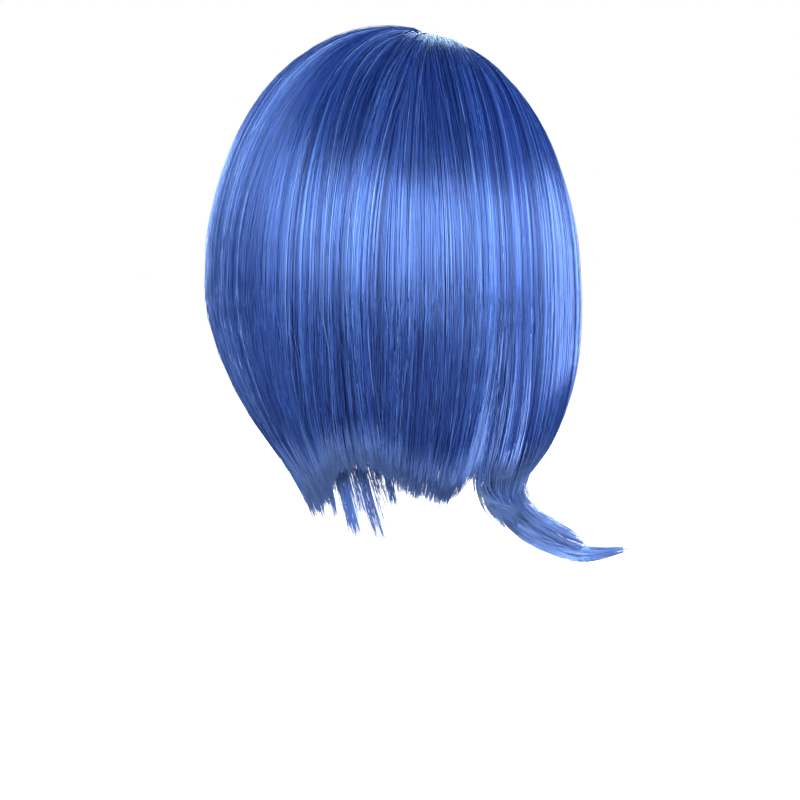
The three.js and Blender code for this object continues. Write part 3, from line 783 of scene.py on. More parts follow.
def under_hair(word, low, high, seed):
    """The hair of the middle wefts, between the cap and the outer hair."""
    draw = np.random.default_rng(seed)
    count = int((high - low) * PER_DEGREE * UNDER_DENSITY)
    angles = np.radians(draw.uniform(low, high, count))
    t = np.linspace(0, 1, UNDER_POINTS)[None, :]
    top = draw.uniform(-60, 0, count)[:, None]
    bottom = (UNDER_HEM + draw.exponential(7, count) + 5 * ring_noise(angles, 22, 51))[:, None]
    z = top + (bottom - top) * t
    share = np.clip((-2 - z) / 120, 0, 1)
    depth = draw.uniform(0, 6, count)[:, None]
    reach = (1 - 0.25 * share**2.4) * (0.93 + 0.07 * smooth(t, 0, 0.25))
    turn = angles[:, None] + draw.normal(0, 0.02, count)[:, None] * t
    paths = np.stack([
        (93 - depth) * reach * np.sin(turn),
        6 + 9 * share**2 + (99 - depth) * reach * np.cos(turn),
        z,
    ], axis=-1)
    widths = strand_widths(count, UNDER_POINTS, 0.7, draw, tip=0.15)
    styles = strand_styles(angles, draw, 0.45)
    name = f"under_hair_{word}"
    finish_strands(name, paths, widths, styles, "cap", UNDER_MATERIAL, [name])


under_hair("left", 0.5, 98, 301)
under_hair("right", -98, -0.5, 302)


# root angle and tip angle in degrees, tip height, the number of strands and the half width of the wisp
NAPE_WISPS = [
    (41, 37, -176, 60, 3.0), (36, 30, -188, 60, 2.5), (31, 23, -183, 50, 2.5), (26, 17, -190, 60, 2.5),
    (21, 9, -186, 50, 2.5), (16, 2, -200, 70, 3.0), (12, -3, -203, 60, 2.0), (7, -8, -188, 40, 2.5),
    (3, -16, -199, 30, 1.6), (-1, -22, -207, 34, 1.6), (-6, -29, -198, 16, 1.4), (-8, -20, -174, 50, 4.0),
    (-14, -28, -180, 50, 4.0), (-19, -32, -184, 46, 3.5), (-24, -37, -176, 36, 3.5),
    (-30, -43, -179, 24, 2.5), (-35, -47, -171, 24, 3.0), (-41, -50, -170, 18, 2.5),
]


NAPE_POINTS = 18
NAPE_DENSITY = 1.5
NAPE_TOP = -80


def nape_wisps():
    """Short feathery hair from the lowest weft, in pointed wisps that curl to the wearer's right."""
    draw = np.random.default_rng(303)
    share = PER_DEGREE / FULL_DENSITY * NAPE_DENSITY
    t = np.linspace(0, 1, NAPE_POINTS)[None, :]
    all_paths, all_angles = [], []
    for root, tip, tip_z, strands, half_width in NAPE_WISPS:
        count = int(strands * share)
        place = draw.normal(0, half_width, count)[:, None]
        depth = draw.uniform(-2.5, 2.5, count)[:, None]
        close = 1 - 0.94 * t**1.1
        bend = t**2.2 * draw.uniform(0.8, 1.25, count)[:, None]
        angles = np.radians(root + (tip - root) * bend + place * close)
        end = tip_z + 34 * draw.uniform(0, 1, count)[:, None] ** 2.4
        z = NAPE_TOP + (end - NAPE_TOP) * t
        radius = 50 + 4 * np.sin(PI * t) + 4 * np.exp(-14 * t) + depth * close - 2 * t
        all_paths.append(np.stack([radius * np.sin(angles), 30 + radius * np.cos(angles), z], axis=-1))
        all_angles.append(angles[:, 0])
    paths = np.concatenate(all_paths)
    angles = np.concatenate(all_angles)
    widths = strand_widths(len(paths), NAPE_POINTS, 0.42, draw, tip=0.08)
    widths = widths * (1 - 0.5 * smooth(t, 0.6, 1))
    styles = strand_styles(angles, draw, 0.62)
    finish_strands("nape_hair", paths, widths, styles, "cap", NAPE_MATERIAL, ["nape_hair"])


nape_wisps()

# ------------------------------------------------------------------ cap: places

BAND_WIDTH = 11.0
LAYER = {"band": (0.0, 1.2), "net": (1.5, 2.3), "tape": (2.6, 3.4), "track": (3.7, 5.2)}
BAND_ENDS = {"front": -41.5, "nape": 46.0, "gap": 0.4}
TRACK_LEVELS = (-71, -56, -41, -26, -11, 5, 21, 38, 56, 74)
TRACK_HEIGHT = 3.0
PARTING_X = -28.0
SKIN = {"half_width": 17.0, "front_y": -80.0, "back_y": 28.0, "front_z": 42.0}
SKIN_ROOM = {"half_width": 19.0, "back_y": 47.0, "low_z": 30.0}
TAPE_TURNS = {"left": 38, "centre": 0, "right": -38}
TAB = {
    "width": 24.0, "height": 33.0, "corner": 9.0,
    "x": 73.1, "y": -26.1, "top": 4.4, "yaw": 12.6, "clear": 0.4,
}
TAB_SHEETS = {"lining": (0.0, 0.8), "cover": (2.0, 3.2)}
NAPE = {"centre_y": 20.0, "strap_out": 57.6, "strap_thick": 1.2, "middle": -75.0, "height": 12.0}
SIDES_OF_HEAD = ((1, "left"), (-1, "right"))


def layer_place(name):
    """How far above the head the middle of a layer of the cap lies, and how thick the layer is."""
    inside, outside = LAYER[name]
    return (inside + outside) / 2, outside - inside


def head_height(z, grow):
    return np.where(z > 0, HEAD["crown"], HEAD["below"]) + grow


def on_head(unit_place, grow, levels=None):
    """Points of the head, grown by a distance, from unit vectors. levels tell its top half from below."""
    levels = unit_place[..., 2] if levels is None else levels
    size = np.stack([
        np.full(levels.shape, HEAD["half_width"] + grow),
        np.full(levels.shape, HEAD["half_length"] + grow),
        head_height(levels, grow),
    ], axis=-1)
    return unit_place * size


def head_normal(points):
    return unit(points / on_head(np.ones(points.shape), 0.0, points[..., 2]) ** 2)


def even_path(path, step):
    """The same open path with its points evenly spaced at about the given step, in mm."""
    reach = reach_of(path)
    return at_reach(np.linspace(0, reach[-1], max(3, int(round(reach[-1] / step)) + 1)), reach, path)


def eased(path, rounds):
    """A path with its corners rounded, keeping its ends."""
    for _ in range(rounds):
        path = np.concatenate([path[:1], (path[:-2] + 2 * path[1:-1] + path[2:]) / 4, path[-1:]])
    return path


CAP_CORNERS = np.array([
    [-120, 38], [-62, 34], [-44, 22], [-40, 6], [-12, 6], [4, 4], [20, -8], [32, -30], [42, -56],
    [56, -78], [130, -85],
], float)
EDGE_STEP = 0.5
EDGE_ROUNDS = 240


def smooth_edge():
    """The cap's edge as seen from the side, as places along the head and levels, with rounded corners."""
    flat = np.concatenate([CAP_CORNERS, np.zeros((len(CAP_CORNERS), 1))], axis=1)
    return eased(even_path(flat, EDGE_STEP), EDGE_ROUNDS)[:, :2]


CAP_EDGE = smooth_edge()


def edge_height(y):
    """The level of the cap's edge at a place along the head."""
    return np.interp(y, CAP_EDGE[:, 0], CAP_EDGE[:, 1])


def above_edge(y, z):
    """How far a place on the side of the cap lies in from its edge, about, in mm."""
    slope = (edge_height(y + 1) - edge_height(y - 1)) / 2
    return (z - edge_height(y)) / np.sqrt(1 + slope**2)


# ------------------------------------------------------------------ cap: meshes

RIM = 12  # points round a tape's section


def tape_section():
    """A flat section with rounded edges: across from -1 to 1 and through from -1 to 1."""
    turn = 2 * PI * (np.arange(RIM) + 0.5) / RIM
    across, through = np.cos(turn), np.sin(turn)
    return np.sign(across) * np.abs(across) ** 0.35, np.sign(through) * np.abs(through) ** 0.6


def ring_faces(near, far, count):
    """Quads between two closed rings of points, whose first points have the given numbers."""
    return [(near + j, near + (j + 1) % count, far + (j + 1) % count, far + j) for j in range(count)]


def finish_mesh(name, corners, faces, uv, pattern, look, body, slot, nodes):
    """Makes an object of a closed mesh, gives it its maps and material and puts it on its body."""
    mesh = bpy.data.meshes.new(name)
    mesh.from_pydata([tuple(c) for c in to_row(corners)], [], [tuple(int(i) for i in f) for f in faces])
    for label, values in (("OFBake", uv), ("Pattern", pattern)):
        layer = mesh.uv_layers.new(name=label)
        layer.data.foreach_set("uv", np.asarray(values, np.float32).reshape(-1))
    mesh.polygons.foreach_set("use_smooth", np.ones(len(mesh.polygons), bool))
    mesh.materials.append(look)
    piece = bpy.data.objects.new(name, mesh)
    bpy.context.scene.collection.objects.link(piece)
    if body:
        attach(piece, body)
    if nodes:
        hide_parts(*nodes)
    return piece


def sweep(path, outward, width, thick, ribs=0.0, rib_step=2.0):
    """A closed strip along a path: its vertices, faces and maps. outward holds its face's normals."""
    along = unit(np.gradient(path, axis=0))
    outward = unit(outward - along * np.sum(outward * along, axis=1, keepdims=True))
    side = np.cross(along, outward)
    reach = reach_of(path)
    swell = 1 + ribs * np.sin(2 * PI * reach / rib_step)
    across, through = tape_section()
    across = across * width / 2
    corners = (
        path[:, None, :]
        + side[:, None, :] * across[None, :, None]
        + outward[:, None, :] * (through * thick / 2)[None, :, None] * swell[:, None, None]
    )
    last = (len(path) - 1) * RIM
    faces, uv, pattern = [], [], []
    for i in range(len(path) - 1):
        faces += ring_faces(i * RIM, (i + 1) * RIM, RIM)
        for j in range(RIM):
            for row, turn in ((i, j), (i, j + 1), (i + 1, j + 1), (i + 1, j)):
                uv.append((reach[row] / reach[-1], turn / RIM))
                pattern.append((reach[row], across[turn % RIM]))
    faces += [list(range(RIM - 1, -1, -1)), [last + j for j in range(RIM)]]
    for end in (0.0, 1.0):
        uv += [(end, j / RIM) for j in range(RIM)]
        pattern += [(reach[-1] * end, across[j]) for j in range(RIM)]
    return corners.reshape(-1, 3), faces, uv, pattern


def tape(name, path, outward, width, thick, look, body, slot, nodes, ribs=0.0, rib_step=2.0):
    finish_mesh(name, *sweep(path, outward, width, thick, ribs, rib_step), look, body, slot, nodes)


def joined(parts):
    """Several meshes of vertices, faces and maps as one."""
    corners, faces, uv, pattern = [], [], [], []
    start = 0
    for part_corners, part_faces, part_uv, part_pattern in parts:
        corners.append(part_corners)
        faces += [[i + start for i in face] for face in part_faces]
        uv += part_uv
        pattern += part_pattern
        start += len(part_corners)
    return np.concatenate(corners), faces, uv, pattern


STITCH_RISE = 0.16
STITCH_DIP = 0.5


def stitches(name, path, outward, body, length=2.2, pitch=3.2, thread=0.34):
    """A row of stitches on a path: short rounded threads that dip into the cloth at their ends."""
    path = even_path(path, pitch)
    along = unit(np.gradient(path, axis=0))
    parts = []
    t = np.linspace(-1, 1, 5)
    for i in range(len(path)):
        normal = outward[min(len(outward) - 1, int(i * len(outward) / len(path)))]
        arc = (
            path[i]
            + along[i] * (t * length / 2)[:, None]
            + normal * (STITCH_RISE - STITCH_DIP * t**4)[:, None]
        )
        parts.append(sweep(arc, np.tile(normal, (len(t), 1)), thread, thread))
    finish_mesh(name, *joined(parts), THREAD_LOOK, body, "woven_tape", [])


# ------------------------------------------------------------------ cap: materials

WAVE_SCALE = 0.314  # of the wave texture, for a thread of 1 mm


def cloth(name, colours, roughness, thread_mm, grain=0.25, sheen=0.3, across_mm=None):
    """A woven or knitted cloth: crossing threads at the given pitch, in colour and in relief."""
    material, tree, shader = new_material(name)
    place = add_node(tree, "UVMap", {}, uv_map="Pattern").outputs["UV"]
    threads = []
    for axis, pitch in (("X", thread_mm), ("Y", across_mm or thread_mm)):
        inputs = {"Scale": WAVE_SCALE / pitch, "Distortion": 0.6, "Detail Scale": 0.4, "Vector": place}
        wave = add_node(tree, "TexWave", inputs, wave_type="BANDS", bands_direction=axis)
        threads.append(wave.outputs["Fac"])
    weave = add_node(tree, "Math", dict(enumerate(threads)), operation="MULTIPLY").outputs["Value"]
    mottle = add_node(tree, "TexNoise", {"Scale": 0.22, "Detail": 3.0, "Vector": place})
    inputs = {0: weave, 1: 0.55, 2: mottle.outputs["Fac"]}
    tone = add_node(tree, "Math", inputs, operation="MULTIPLY_ADD").outputs["Value"]
    feed(tree, shader, {
        "Base Color": add_ramp(tree, tone, [(0.3, colours[0]), (1.0, colours[1])]),
        "Normal": add_relief(tree, weave, grain, 0.0003),
        "Roughness": roughness,
        "Sheen Weight": sheen,
    })
    return material


def grained(name, colours, roughness, scale, metallic=0.0, relief=0.2):
    """A mottled surface without a map: plastic, brushed metal, net yarn or imitation scalp."""
    material, tree, shader = new_material(name)
    place = add_node(tree, "TexCoord", {}).outputs["Object"]
    speckle = add_node(tree, "TexNoise", {"Scale": scale, "Detail": 4.0, "Vector": place})
    tone = speckle.outputs["Fac"]
    feed(tree, shader, {
        "Base Color": add_ramp(tree, tone, [(0.3, colours[0]), (0.7, colours[1])]),
        "Normal": add_relief(tree, tone, relief, 0.0002),
        "Roughness": roughness,
        "Metallic": metallic,
    })
    return material


NET_LOOK = grained("net_yarn", ((0.018, 0.040, 0.17), (0.035, 0.085, 0.30)), 0.75, 900)
TAPE_LOOK = cloth("woven_tape_blue", ((0.020, 0.045, 0.20), (0.050, 0.110, 0.36)), 0.7, 0.7)
BINDING_LOOK = cloth("satin_binding_navy", ((0.010, 0.022, 0.085), (0.030, 0.055, 0.19)), 0.42, 0.5, 0.25, 0.5)
ELASTIC_LOOK = cloth("elastic_black", ((0.008, 0.010, 0.016), (0.040, 0.046, 0.065)), 0.8, 1.1, 0.6, 0.2, 0.6)
PILE_LOOK = cloth("soft_pile_navy", ((0.006, 0.010, 0.035), (0.030, 0.042, 0.10)), 0.95, 0.45, 0.8, 0.8)
LABEL_LOOK = cloth("label_satin_white", ((0.62, 0.61, 0.58), (0.86, 0.86, 0.83)), 0.5, 0.35, 0.25, 0.2)
THREAD_LOOK = cloth("sewing_thread_blue", ((0.06, 0.12, 0.36), (0.12, 0.22, 0.55)), 0.5, 0.3)
SCALP_LOOK = grained("scalp_sheet_pale", ((0.38, 0.38, 0.44), (0.50, 0.50, 0.57)), 0.55, 1400)
STEEL_LOOK = grained("stay_steel", ((0.42, 0.43, 0.45), (0.60, 0.61, 0.63)), 0.32, 700, metallic=1.0)
HOOK_LOOK = grained("hook_tape_black", ((0.010, 0.011, 0.014), (0.035, 0.037, 0.045)), 0.6, 1500, 0.0, 0.8)

# ------------------------------------------------------------------ cap: net and scalp patch

NET_CELLS = 46  # along a quarter turn of the head
NET_YARN = 0.55
NET_MARGIN = 5.0  # mm inside the cap's edge
PATCH_OVERLAP = 14.0  # mm of the patch's rounded back that the net leaves open


def inside_cap(point, margin):
    """Whether a point of the net lies inside the cap's edge and off the scalp patch."""
    x, y, z = point
    if above_edge(y, z) < margin:
        return False
    beside = abs(x - PARTING_X) < SKIN["half_width"] - 1
    over_patch = beside and SKIN["front_y"] < y < SKIN["back_y"] + PATCH_OVERLAP
    return not (over_patch and z > SKIN_ROOM["low_z"])


def net_lattice():
    """An open knitted net: a fine grid on the head form, with every edge of it a strand of yarn."""
    lattice = bmesh.new()
    bmesh.ops.create_cube(lattice, size=2.0)
    bmesh.ops.subdivide_edges(lattice, edges=lattice.edges[:], cuts=NET_CELLS - 1, use_grid_fill=True)
    grow, _ = layer_place("net")
    for vertex in lattice.verts:
        # Even cells on the sphere: the tangent of the face's place, as an angle.
        place = np.array([math.tan(c * PI / 4) if abs(c) < 0.999 else c for c in vertex.co])
        vertex.co = Vector(on_head(unit(place), grow))
    outside = [f for f in lattice.faces if not inside_cap(tuple(f.calc_center_median()), NET_MARGIN)]
    bmesh.ops.delete(lattice, geom=outside, context="FACES")
    bmesh.ops.wireframe(
        lattice, faces=lattice.faces[:], thickness=NET_YARN, use_replace=True, use_boundary=True
    )
    corners = np.array([tuple(v.co) for v in lattice.verts])
    for i, vertex in enumerate(lattice.verts):
        vertex.index = i
    faces = [[v.index for v in f.verts] for f in lattice.faces]
    lattice.free()
    flat = [(0.5 + corners[i][0] / 200, 0.5 + corners[i][1] / 220) for face in faces for i in face]
    looks = (NET_LOOK, "cap", "stretch_net", ["cap_net"])
    finish_mesh("cap_net_lattice", corners, faces, flat, flat, *looks)


def scalp_patch():
    """The sheet that looks like scalp under the parting, with a turned edge."""
    rows, columns = 44, 14
    half = SKIN["half_width"]
    inside, outside = LAYER["tape"]
    corners, pattern = [], []
    for grow in (outside, inside):
        a, b, c = HEAD["half_width"] + grow, HEAD["half_length"] + grow, HEAD["crown"] + grow
        for i in range(rows + 1):
            for j in range(columns + 1):
                across = 2 * j / columns - 1
                x = PARTING_X + half * across
                lowest = b * math.sqrt(1 - (x / a) ** 2 - (SKIN["front_z"] / c) ** 2)
                front = -min(-SKIN["front_y"], lowest)
                back = SKIN["back_y"] + half * math.sqrt(1 - across**2)
                y = front + (back - front) * i / rows
                corners.append((x, y, c * math.sqrt(1 - (x / a) ** 2 - (y / b) ** 2)))
                pattern.append((x, y))

    def at(sheet, i, j):
        return (sheet * (rows + 1) + i) * (columns + 1) + j

    faces = []
    for i in range(rows):
        for j in range(columns):
            faces.append((at(0, i, j), at(0, i, j + 1), at(0, i + 1, j + 1), at(0, i + 1, j)))
            faces.append((at(1, i, j), at(1, i + 1, j), at(1, i + 1, j + 1), at(1, i, j + 1)))
    for i in range(rows):
        faces.append((at(0, i, 0), at(0, i + 1, 0), at(1, i + 1, 0), at(1, i, 0)))
        faces.append((at(0, i + 1, columns), at(0, i, columns), at(1, i, columns), at(1, i + 1, columns)))
    for j in range(columns):
        faces.append((at(0, 0, j + 1), at(0, 0, j), at(1, 0, j), at(1, 0, j + 1)))
        faces.append((at(0, rows, j), at(0, rows, j + 1), at(1, rows, j + 1), at(1, rows, j)))
    flat = [pattern[i] for face in faces for i in face]
    uv = [((x + 60) / 80, (y + 90) / 150) for x, y in flat]
    looks = (SCALP_LOOK, "cap", "skin_patch", ["skin_top"])
    finish_mesh("scalp_patch", np.array(corners), faces, uv, flat, *looks)


net_lattice()
scalp_patch()

# ------------------------------------------------------------------ cap: bindings

def edge_loop(inset, grow, side, start_y, end_y):
    """The cap's edge on one side of the head between two places along Y, as a path from front to back."""
    within = (CAP_EDGE[:, 0] >= start_y) & (CAP_EDGE[:, 0] <= end_y)
    y, z = CAP_EDGE[within].T
    run = unit(np.gradient(CAP_EDGE, axis=0)[within])
    y, z = y - run[:, 1] * inset, z + run[:, 0] * inset
    a, b = HEAD["half_width"] + grow, HEAD["half_length"] + grow
    c = head_height(z, grow)
    room = 1 - (y / b) ** 2 - (z / c) ** 2
    keep = room > 0.0004
    y, z, room = y[keep], z[keep], room[keep]
    return np.stack([side * a * np.sqrt(room), y, z], axis=1)


def whole_edge(inset, grow, start_y, end_y):
    """The edge across the middle of the head: from the left, round the front or the back, to the right."""
    left = edge_loop(inset, grow, 1, start_y, end_y)
    right = edge_loop(inset, grow, -1, start_y, end_y)
    if start_y < BAND_ENDS["front"]:
        return np.concatenate([left[::-1], right])
    return np.concatenate([left, right[::-1]])


HEAD_ENDS = (-119, 129)  # past the front and the back of the cap's edge
TAPE_STEP = 0.8  # mm between the points of a tape's path
BINDING_ROUNDS = 30
SEAM_PLACE = 3.7  # mm from the middle of a binding


def bindings():
    """The folded tape sewn round the cap's edge, the elastic at the nape and their stitching."""
    grow, thick = layer_place("band")
    inset = BAND_WIDTH / 2
    ear_from, ear_to = BAND_ENDS["front"] + BAND_ENDS["gap"], BAND_ENDS["nape"] - BAND_ENDS["gap"]
    satin = (BINDING_LOOK, "satin_binding", 0.10)
    elastic = (ELASTIC_LOOK, "elastic", 0.35)
    front = whole_edge(inset, grow, HEAD_ENDS[0], BAND_ENDS["front"])
    nape = whole_edge(inset, grow, BAND_ENDS["nape"], HEAD_ENDS[1])
    runs = [("front_binding", "front_band", front, satin)]
    for side, word in SIDES_OF_HEAD:
        edge = edge_loop(inset, grow, side, ear_from, ear_to)
        runs.append((f"ear_binding_{word}", f"ear_band_{word}", edge, satin))
    runs.append(("nape_elastic", "nape_band", nape, elastic))
    for name, node, path, (look, slot, ribs) in runs:
        path = eased(even_path(path, TAPE_STEP), BINDING_ROUNDS)
        normal = head_normal(path)
        tape(name, path, normal, BAND_WIDTH - 0.6, thick, look, "cap", slot, [node], ribs, 2.4)
        side = np.cross(unit(np.gradient(path, axis=0)), normal)
        for row, place in enumerate((-SEAM_PLACE, SEAM_PLACE)):
            line = path + side * place - normal * (thick / 2 - 0.05)
            stitches(f"{name}_stitches_{row + 1}", line, -normal, "cap")


bindings()

# ------------------------------------------------------------------ cap: tapes and weft tracks

def in_skin_room(points):
    x, y, z = points.T
    beside = np.abs(x - PARTING_X) < SKIN_ROOM["half_width"]
    return beside & (y < SKIN_ROOM["back_y"]) & (z > SKIN_ROOM["low_z"])


STAY_WIDTH = 9.6
STAY_FROM = 36.0  # mm from the head's axis
STAY_MARGIN = 3.5
TRACK_MARGIN = 4.0
SHORTEST_RUN = 20  # points of a track's ring


def stay_tape(word, turn_degrees):
    """A woven tape down the outside of the net, from the crown to the nape."""
    grow, thick = layer_place("tape")
    turn = math.radians(turn_degrees)
    climb = np.linspace(PI / 2, -PI / 2, 400)
    a, b = HEAD["half_width"] + grow, HEAD["half_length"] + grow
    flat = np.cos(climb) / math.hypot(math.sin(turn) / a, math.cos(turn) / b)
    z = head_height(np.sin(climb), grow) * np.sin(climb)
    path = np.stack([flat * math.sin(turn), flat * math.cos(turn), z], axis=1)
    inside = (above_edge(path[:, 1], path[:, 2]) > STAY_MARGIN) & (flat > STAY_FROM)
    path = even_path(path[inside & ~in_skin_room(path)], TAPE_STEP)
    name = f"stay_tape_{word}"
    looks = (TAPE_LOOK, "cap", "woven_tape", [name])
    tape(f"{name}_web", path, head_normal(path), STAY_WIDTH, thick, *looks)


def weft_track(number, z):
    """A sewn weft: the rolled edge that a row of hair hangs from, broken where the cap is open."""
    grow, thick = layer_place("track")
    turn = np.linspace(-PI, PI, 1400)
    level = math.sqrt(1 - (z / head_height(np.array(z), grow)) ** 2)
    path = np.stack([
        (HEAD["half_width"] + grow) * level * np.sin(turn),
        (HEAD["half_length"] + grow) * level * np.cos(turn),
        np.full(len(turn), float(z)),
    ], axis=1)
    keep = (above_edge(path[:, 1], path[:, 2]) > TRACK_MARGIN) & ~in_skin_room(path)
    starts = [0] if keep.all() else np.flatnonzero(keep & ~np.roll(keep, 1))
    parts = []
    for start in starts:
        after = np.roll(keep, -start)
        length = len(keep) if after.all() else int(np.argmin(after))
        if length < SHORTEST_RUN:
            continue
        line = even_path(np.roll(path, -start, axis=0)[:length], 1.2)
        parts.append(sweep(line, head_normal(line), TRACK_HEIGHT, thick, 0.12, 3.0))
    node = f"weft_track_{number:02d}"
    finish_mesh(f"{node}_roll", *joined(parts), TAPE_LOOK, "cap", "woven_tape", [node])


for word, turn in TAPE_TURNS.items():
    stay_tape(word, turn)
for number, level in enumerate(TRACK_LEVELS):
    weft_track(number + 1, level)

# ------------------------------------------------------------------ ear tabs

def tab_outline(width, height, corner):
    """A tab's outline in its own plane, from its top left round its rounded foot to its top right."""
    points = [(-width / 2, 0.0)]
    for start, centre_x in ((PI, -width / 2 + corner), (1.5 * PI, width / 2 - corner)):
        for i in range(9):
            turn = start + PI / 2 * i / 8
            points.append((centre_x + corner * math.cos(turn), -height + corner + corner * math.sin(turn)))
    points.append((width / 2, 0.0))
    return np.array(points)


def tab_frame(side):
    """The tab's place: a point, and the directions across it, up it and away from the head."""
    yaw = math.radians(TAB["yaw"])
    outward = np.array([side * math.cos(yaw), -math.sin(yaw), 0.0])
    up = np.array([0.0, 0.0, 1.0])
    place = np.array([side * TAB["x"], TAB["y"], TAB["top"]]) + outward * TAB["clear"]
    return place, np.cross(up, outward), up, outward


def on_tab(side, points, level):
    """Points of the tab's own plane at a level above it, in the head's frame."""
    place, across, up, outward = tab_frame(side)
    return np.array([place + across * x + up * y + outward * level for x, y in points])


TAB_RINGS = (1.0, 0.97, 0.9, 0.8, 0.62, 0.4, 0.2)  # of a sheet, as shares of its outline


def tab_cushion(name, side, word, sheet, look, slot, crown):
    """A soft sheet with the tab's outline, fullest in its middle and thin at its sewn edge."""
    low, high = TAB_SHEETS[sheet]
    middle = np.array([0.0, -TAB["height"] / 2])
    outline = tab_outline(TAB["width"], TAB["height"], TAB["corner"])
    top_edge = [[x, 0.0] for x in np.linspace(TAB["width"] / 2, -TAB["width"] / 2, 8)[1:-1]]
    loop = np.concatenate([outline, top_edge])
    corners, pattern = [], []
    for face, fullness in ((1, crown), (-1, 1)):
        for ring in (*TAB_RINGS, 0.0):
            swell = 0.25 + 0.75 * (1 - ring**6) ** 0.5 * fullness if ring else fullness
            points = middle + (loop - middle) * ring if ring else [middle]
            corners.append(on_tab(side, points, (low + high) / 2 + face * (high - low) / 2 * swell))
            pattern += [tuple(point) for point in points]
    count, block = len(loop), len(loop) * len(TAB_RINGS) + 1
    faces = []
    for start in (0, block):
        turned = 1 if start == 0 else -1
        for r in range(len(TAB_RINGS) - 1):
            quads = ring_faces(start + r * count, start + (r + 1) * count, count)
            faces += [quad[::turned] for quad in quads]
        inmost, tip = start + (len(TAB_RINGS) - 1) * count, start + block - 1
        for j in range(count):
            a, b = inmost + j, inmost + (j + 1) % count
            faces.append((a, b, tip) if start == 0 else (tip, b, a))
    faces += [(j, block + j, block + (j + 1) % count, (j + 1) % count) for j in range(count)]
    flat = [pattern[i] for f in faces for i in f]
    uv = [((pattern[i][0] + 14) / 56 + 0.5 * (i >= block), -pattern[i][1] / 36) for f in faces for i in f]
    looks = (look, f"ear_tab_{word}", slot, [f"ear_tab_{sheet}_{word}"])
    turn_out(finish_mesh(name, np.concatenate(corners), faces, uv, flat, *looks))


def turn_out(piece):
    """Turns a closed piece's faces outwards."""
    shape = bmesh.new()
    shape.from_mesh(piece.data)
    bmesh.ops.recalc_face_normals(shape, faces=shape.faces[:])
    shape.to_mesh(piece.data)
    shape.free()


FINE_STITCH = (1.7, 2.6, 0.3)  # length, pitch and thread


def ear_tab(side, word):
    """The tab's two sheets, the piping round them and the seam that joins them."""
    place, _, up, outward = tab_frame(side)
    body = f"ear_tab_{word}"
    tab_cushion(f"ear_tab_pile_{word}", side, word, "cover", PILE_LOOK, "soft_pile", 1.5)
    tab_cushion(f"ear_tab_satin_{word}", side, word, "lining", BINDING_LOOK, "satin_binding", 1.0)
    rim = tab_outline(TAB["width"] - 1.2, TAB["height"] - 0.6, TAB["corner"] - 0.6)
    middle = (TAB_SHEETS["cover"][1] + TAB_SHEETS["lining"][0]) / 2
    path = even_path(on_tab(side, rim, middle), 0.7)
    away = path - (place - up * TAB["height"] / 2 + outward * middle)
    away = unit(away - outward * (away @ outward)[:, None])
    looks = (BINDING_LOOK, body, "satin_binding", [])
    tape(f"ear_tab_piping_{word}", path, away, 3.4, 1.1, *looks, 0.06, 1.6)
    seam = tab_outline(TAB["width"] - 5, TAB["height"] - 2.5, TAB["corner"] - 2.5)
    outer, inner = TAB_SHEETS["cover"][1] + 0.18, TAB_SHEETS["lining"][0] - 0.02
    for face, level, normal in (("outer", outer, outward), ("inner", inner, -outward)):
        line = on_tab(side, seam, level)
        normals = np.tile(normal, (len(line), 1))
        stitches(f"ear_tab_stitches_{face}_{word}", line, normals, body, *FINE_STITCH)


def tab_fold(side, word):
    """The strip of satin that joins the ear tab to the band above it, with a row of stitches on the cap and
    one on the tab.
    """
    place, _, up, outward = tab_frame(side)
    rise = np.linspace(6.5, -7.5, 29)
    path = place + up * rise[:, None] - outward * 0.85
    parts = sweep(path, np.tile(-outward, (len(path), 1)), TAB["width"] - 3, 0.5)
    piece = finish_mesh(f"ear_tab_fold_{word}", *parts, BINDING_LOOK, None, "satin_binding", [])
    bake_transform(piece)
    for level, body in ((4.5, "cap"), (-6.0, f"ear_tab_{word}")):
        line = on_tab(side, [(-9.0, level), (9.0, level)], -1.1)
        normals = np.tile(-outward, (2, 1))
        stitches(f"ear_tab_fold_stitches_{word}_{body}", line, normals, body, *FINE_STITCH)


for make in (ear_tab, tab_fold):
    for side, word in SIDES_OF_HEAD:
        make(side, word)

# ------------------------------------------------------------------ nape adjusters and label

def nape_arc(side, start, end, radius, z, step=0.5):
    """A level arc at the nape, from and to degrees off the back, and its outward directions."""
    turn = np.radians(np.linspace(start, end, max(6, int(abs(end - start) * radius * PI / 180 / step))))
    outward = np.stack([side * np.sin(turn), np.cos(turn), np.zeros(len(turn))], axis=1)
    return outward * radius + np.array([0, NAPE["centre_y"], z]), outward


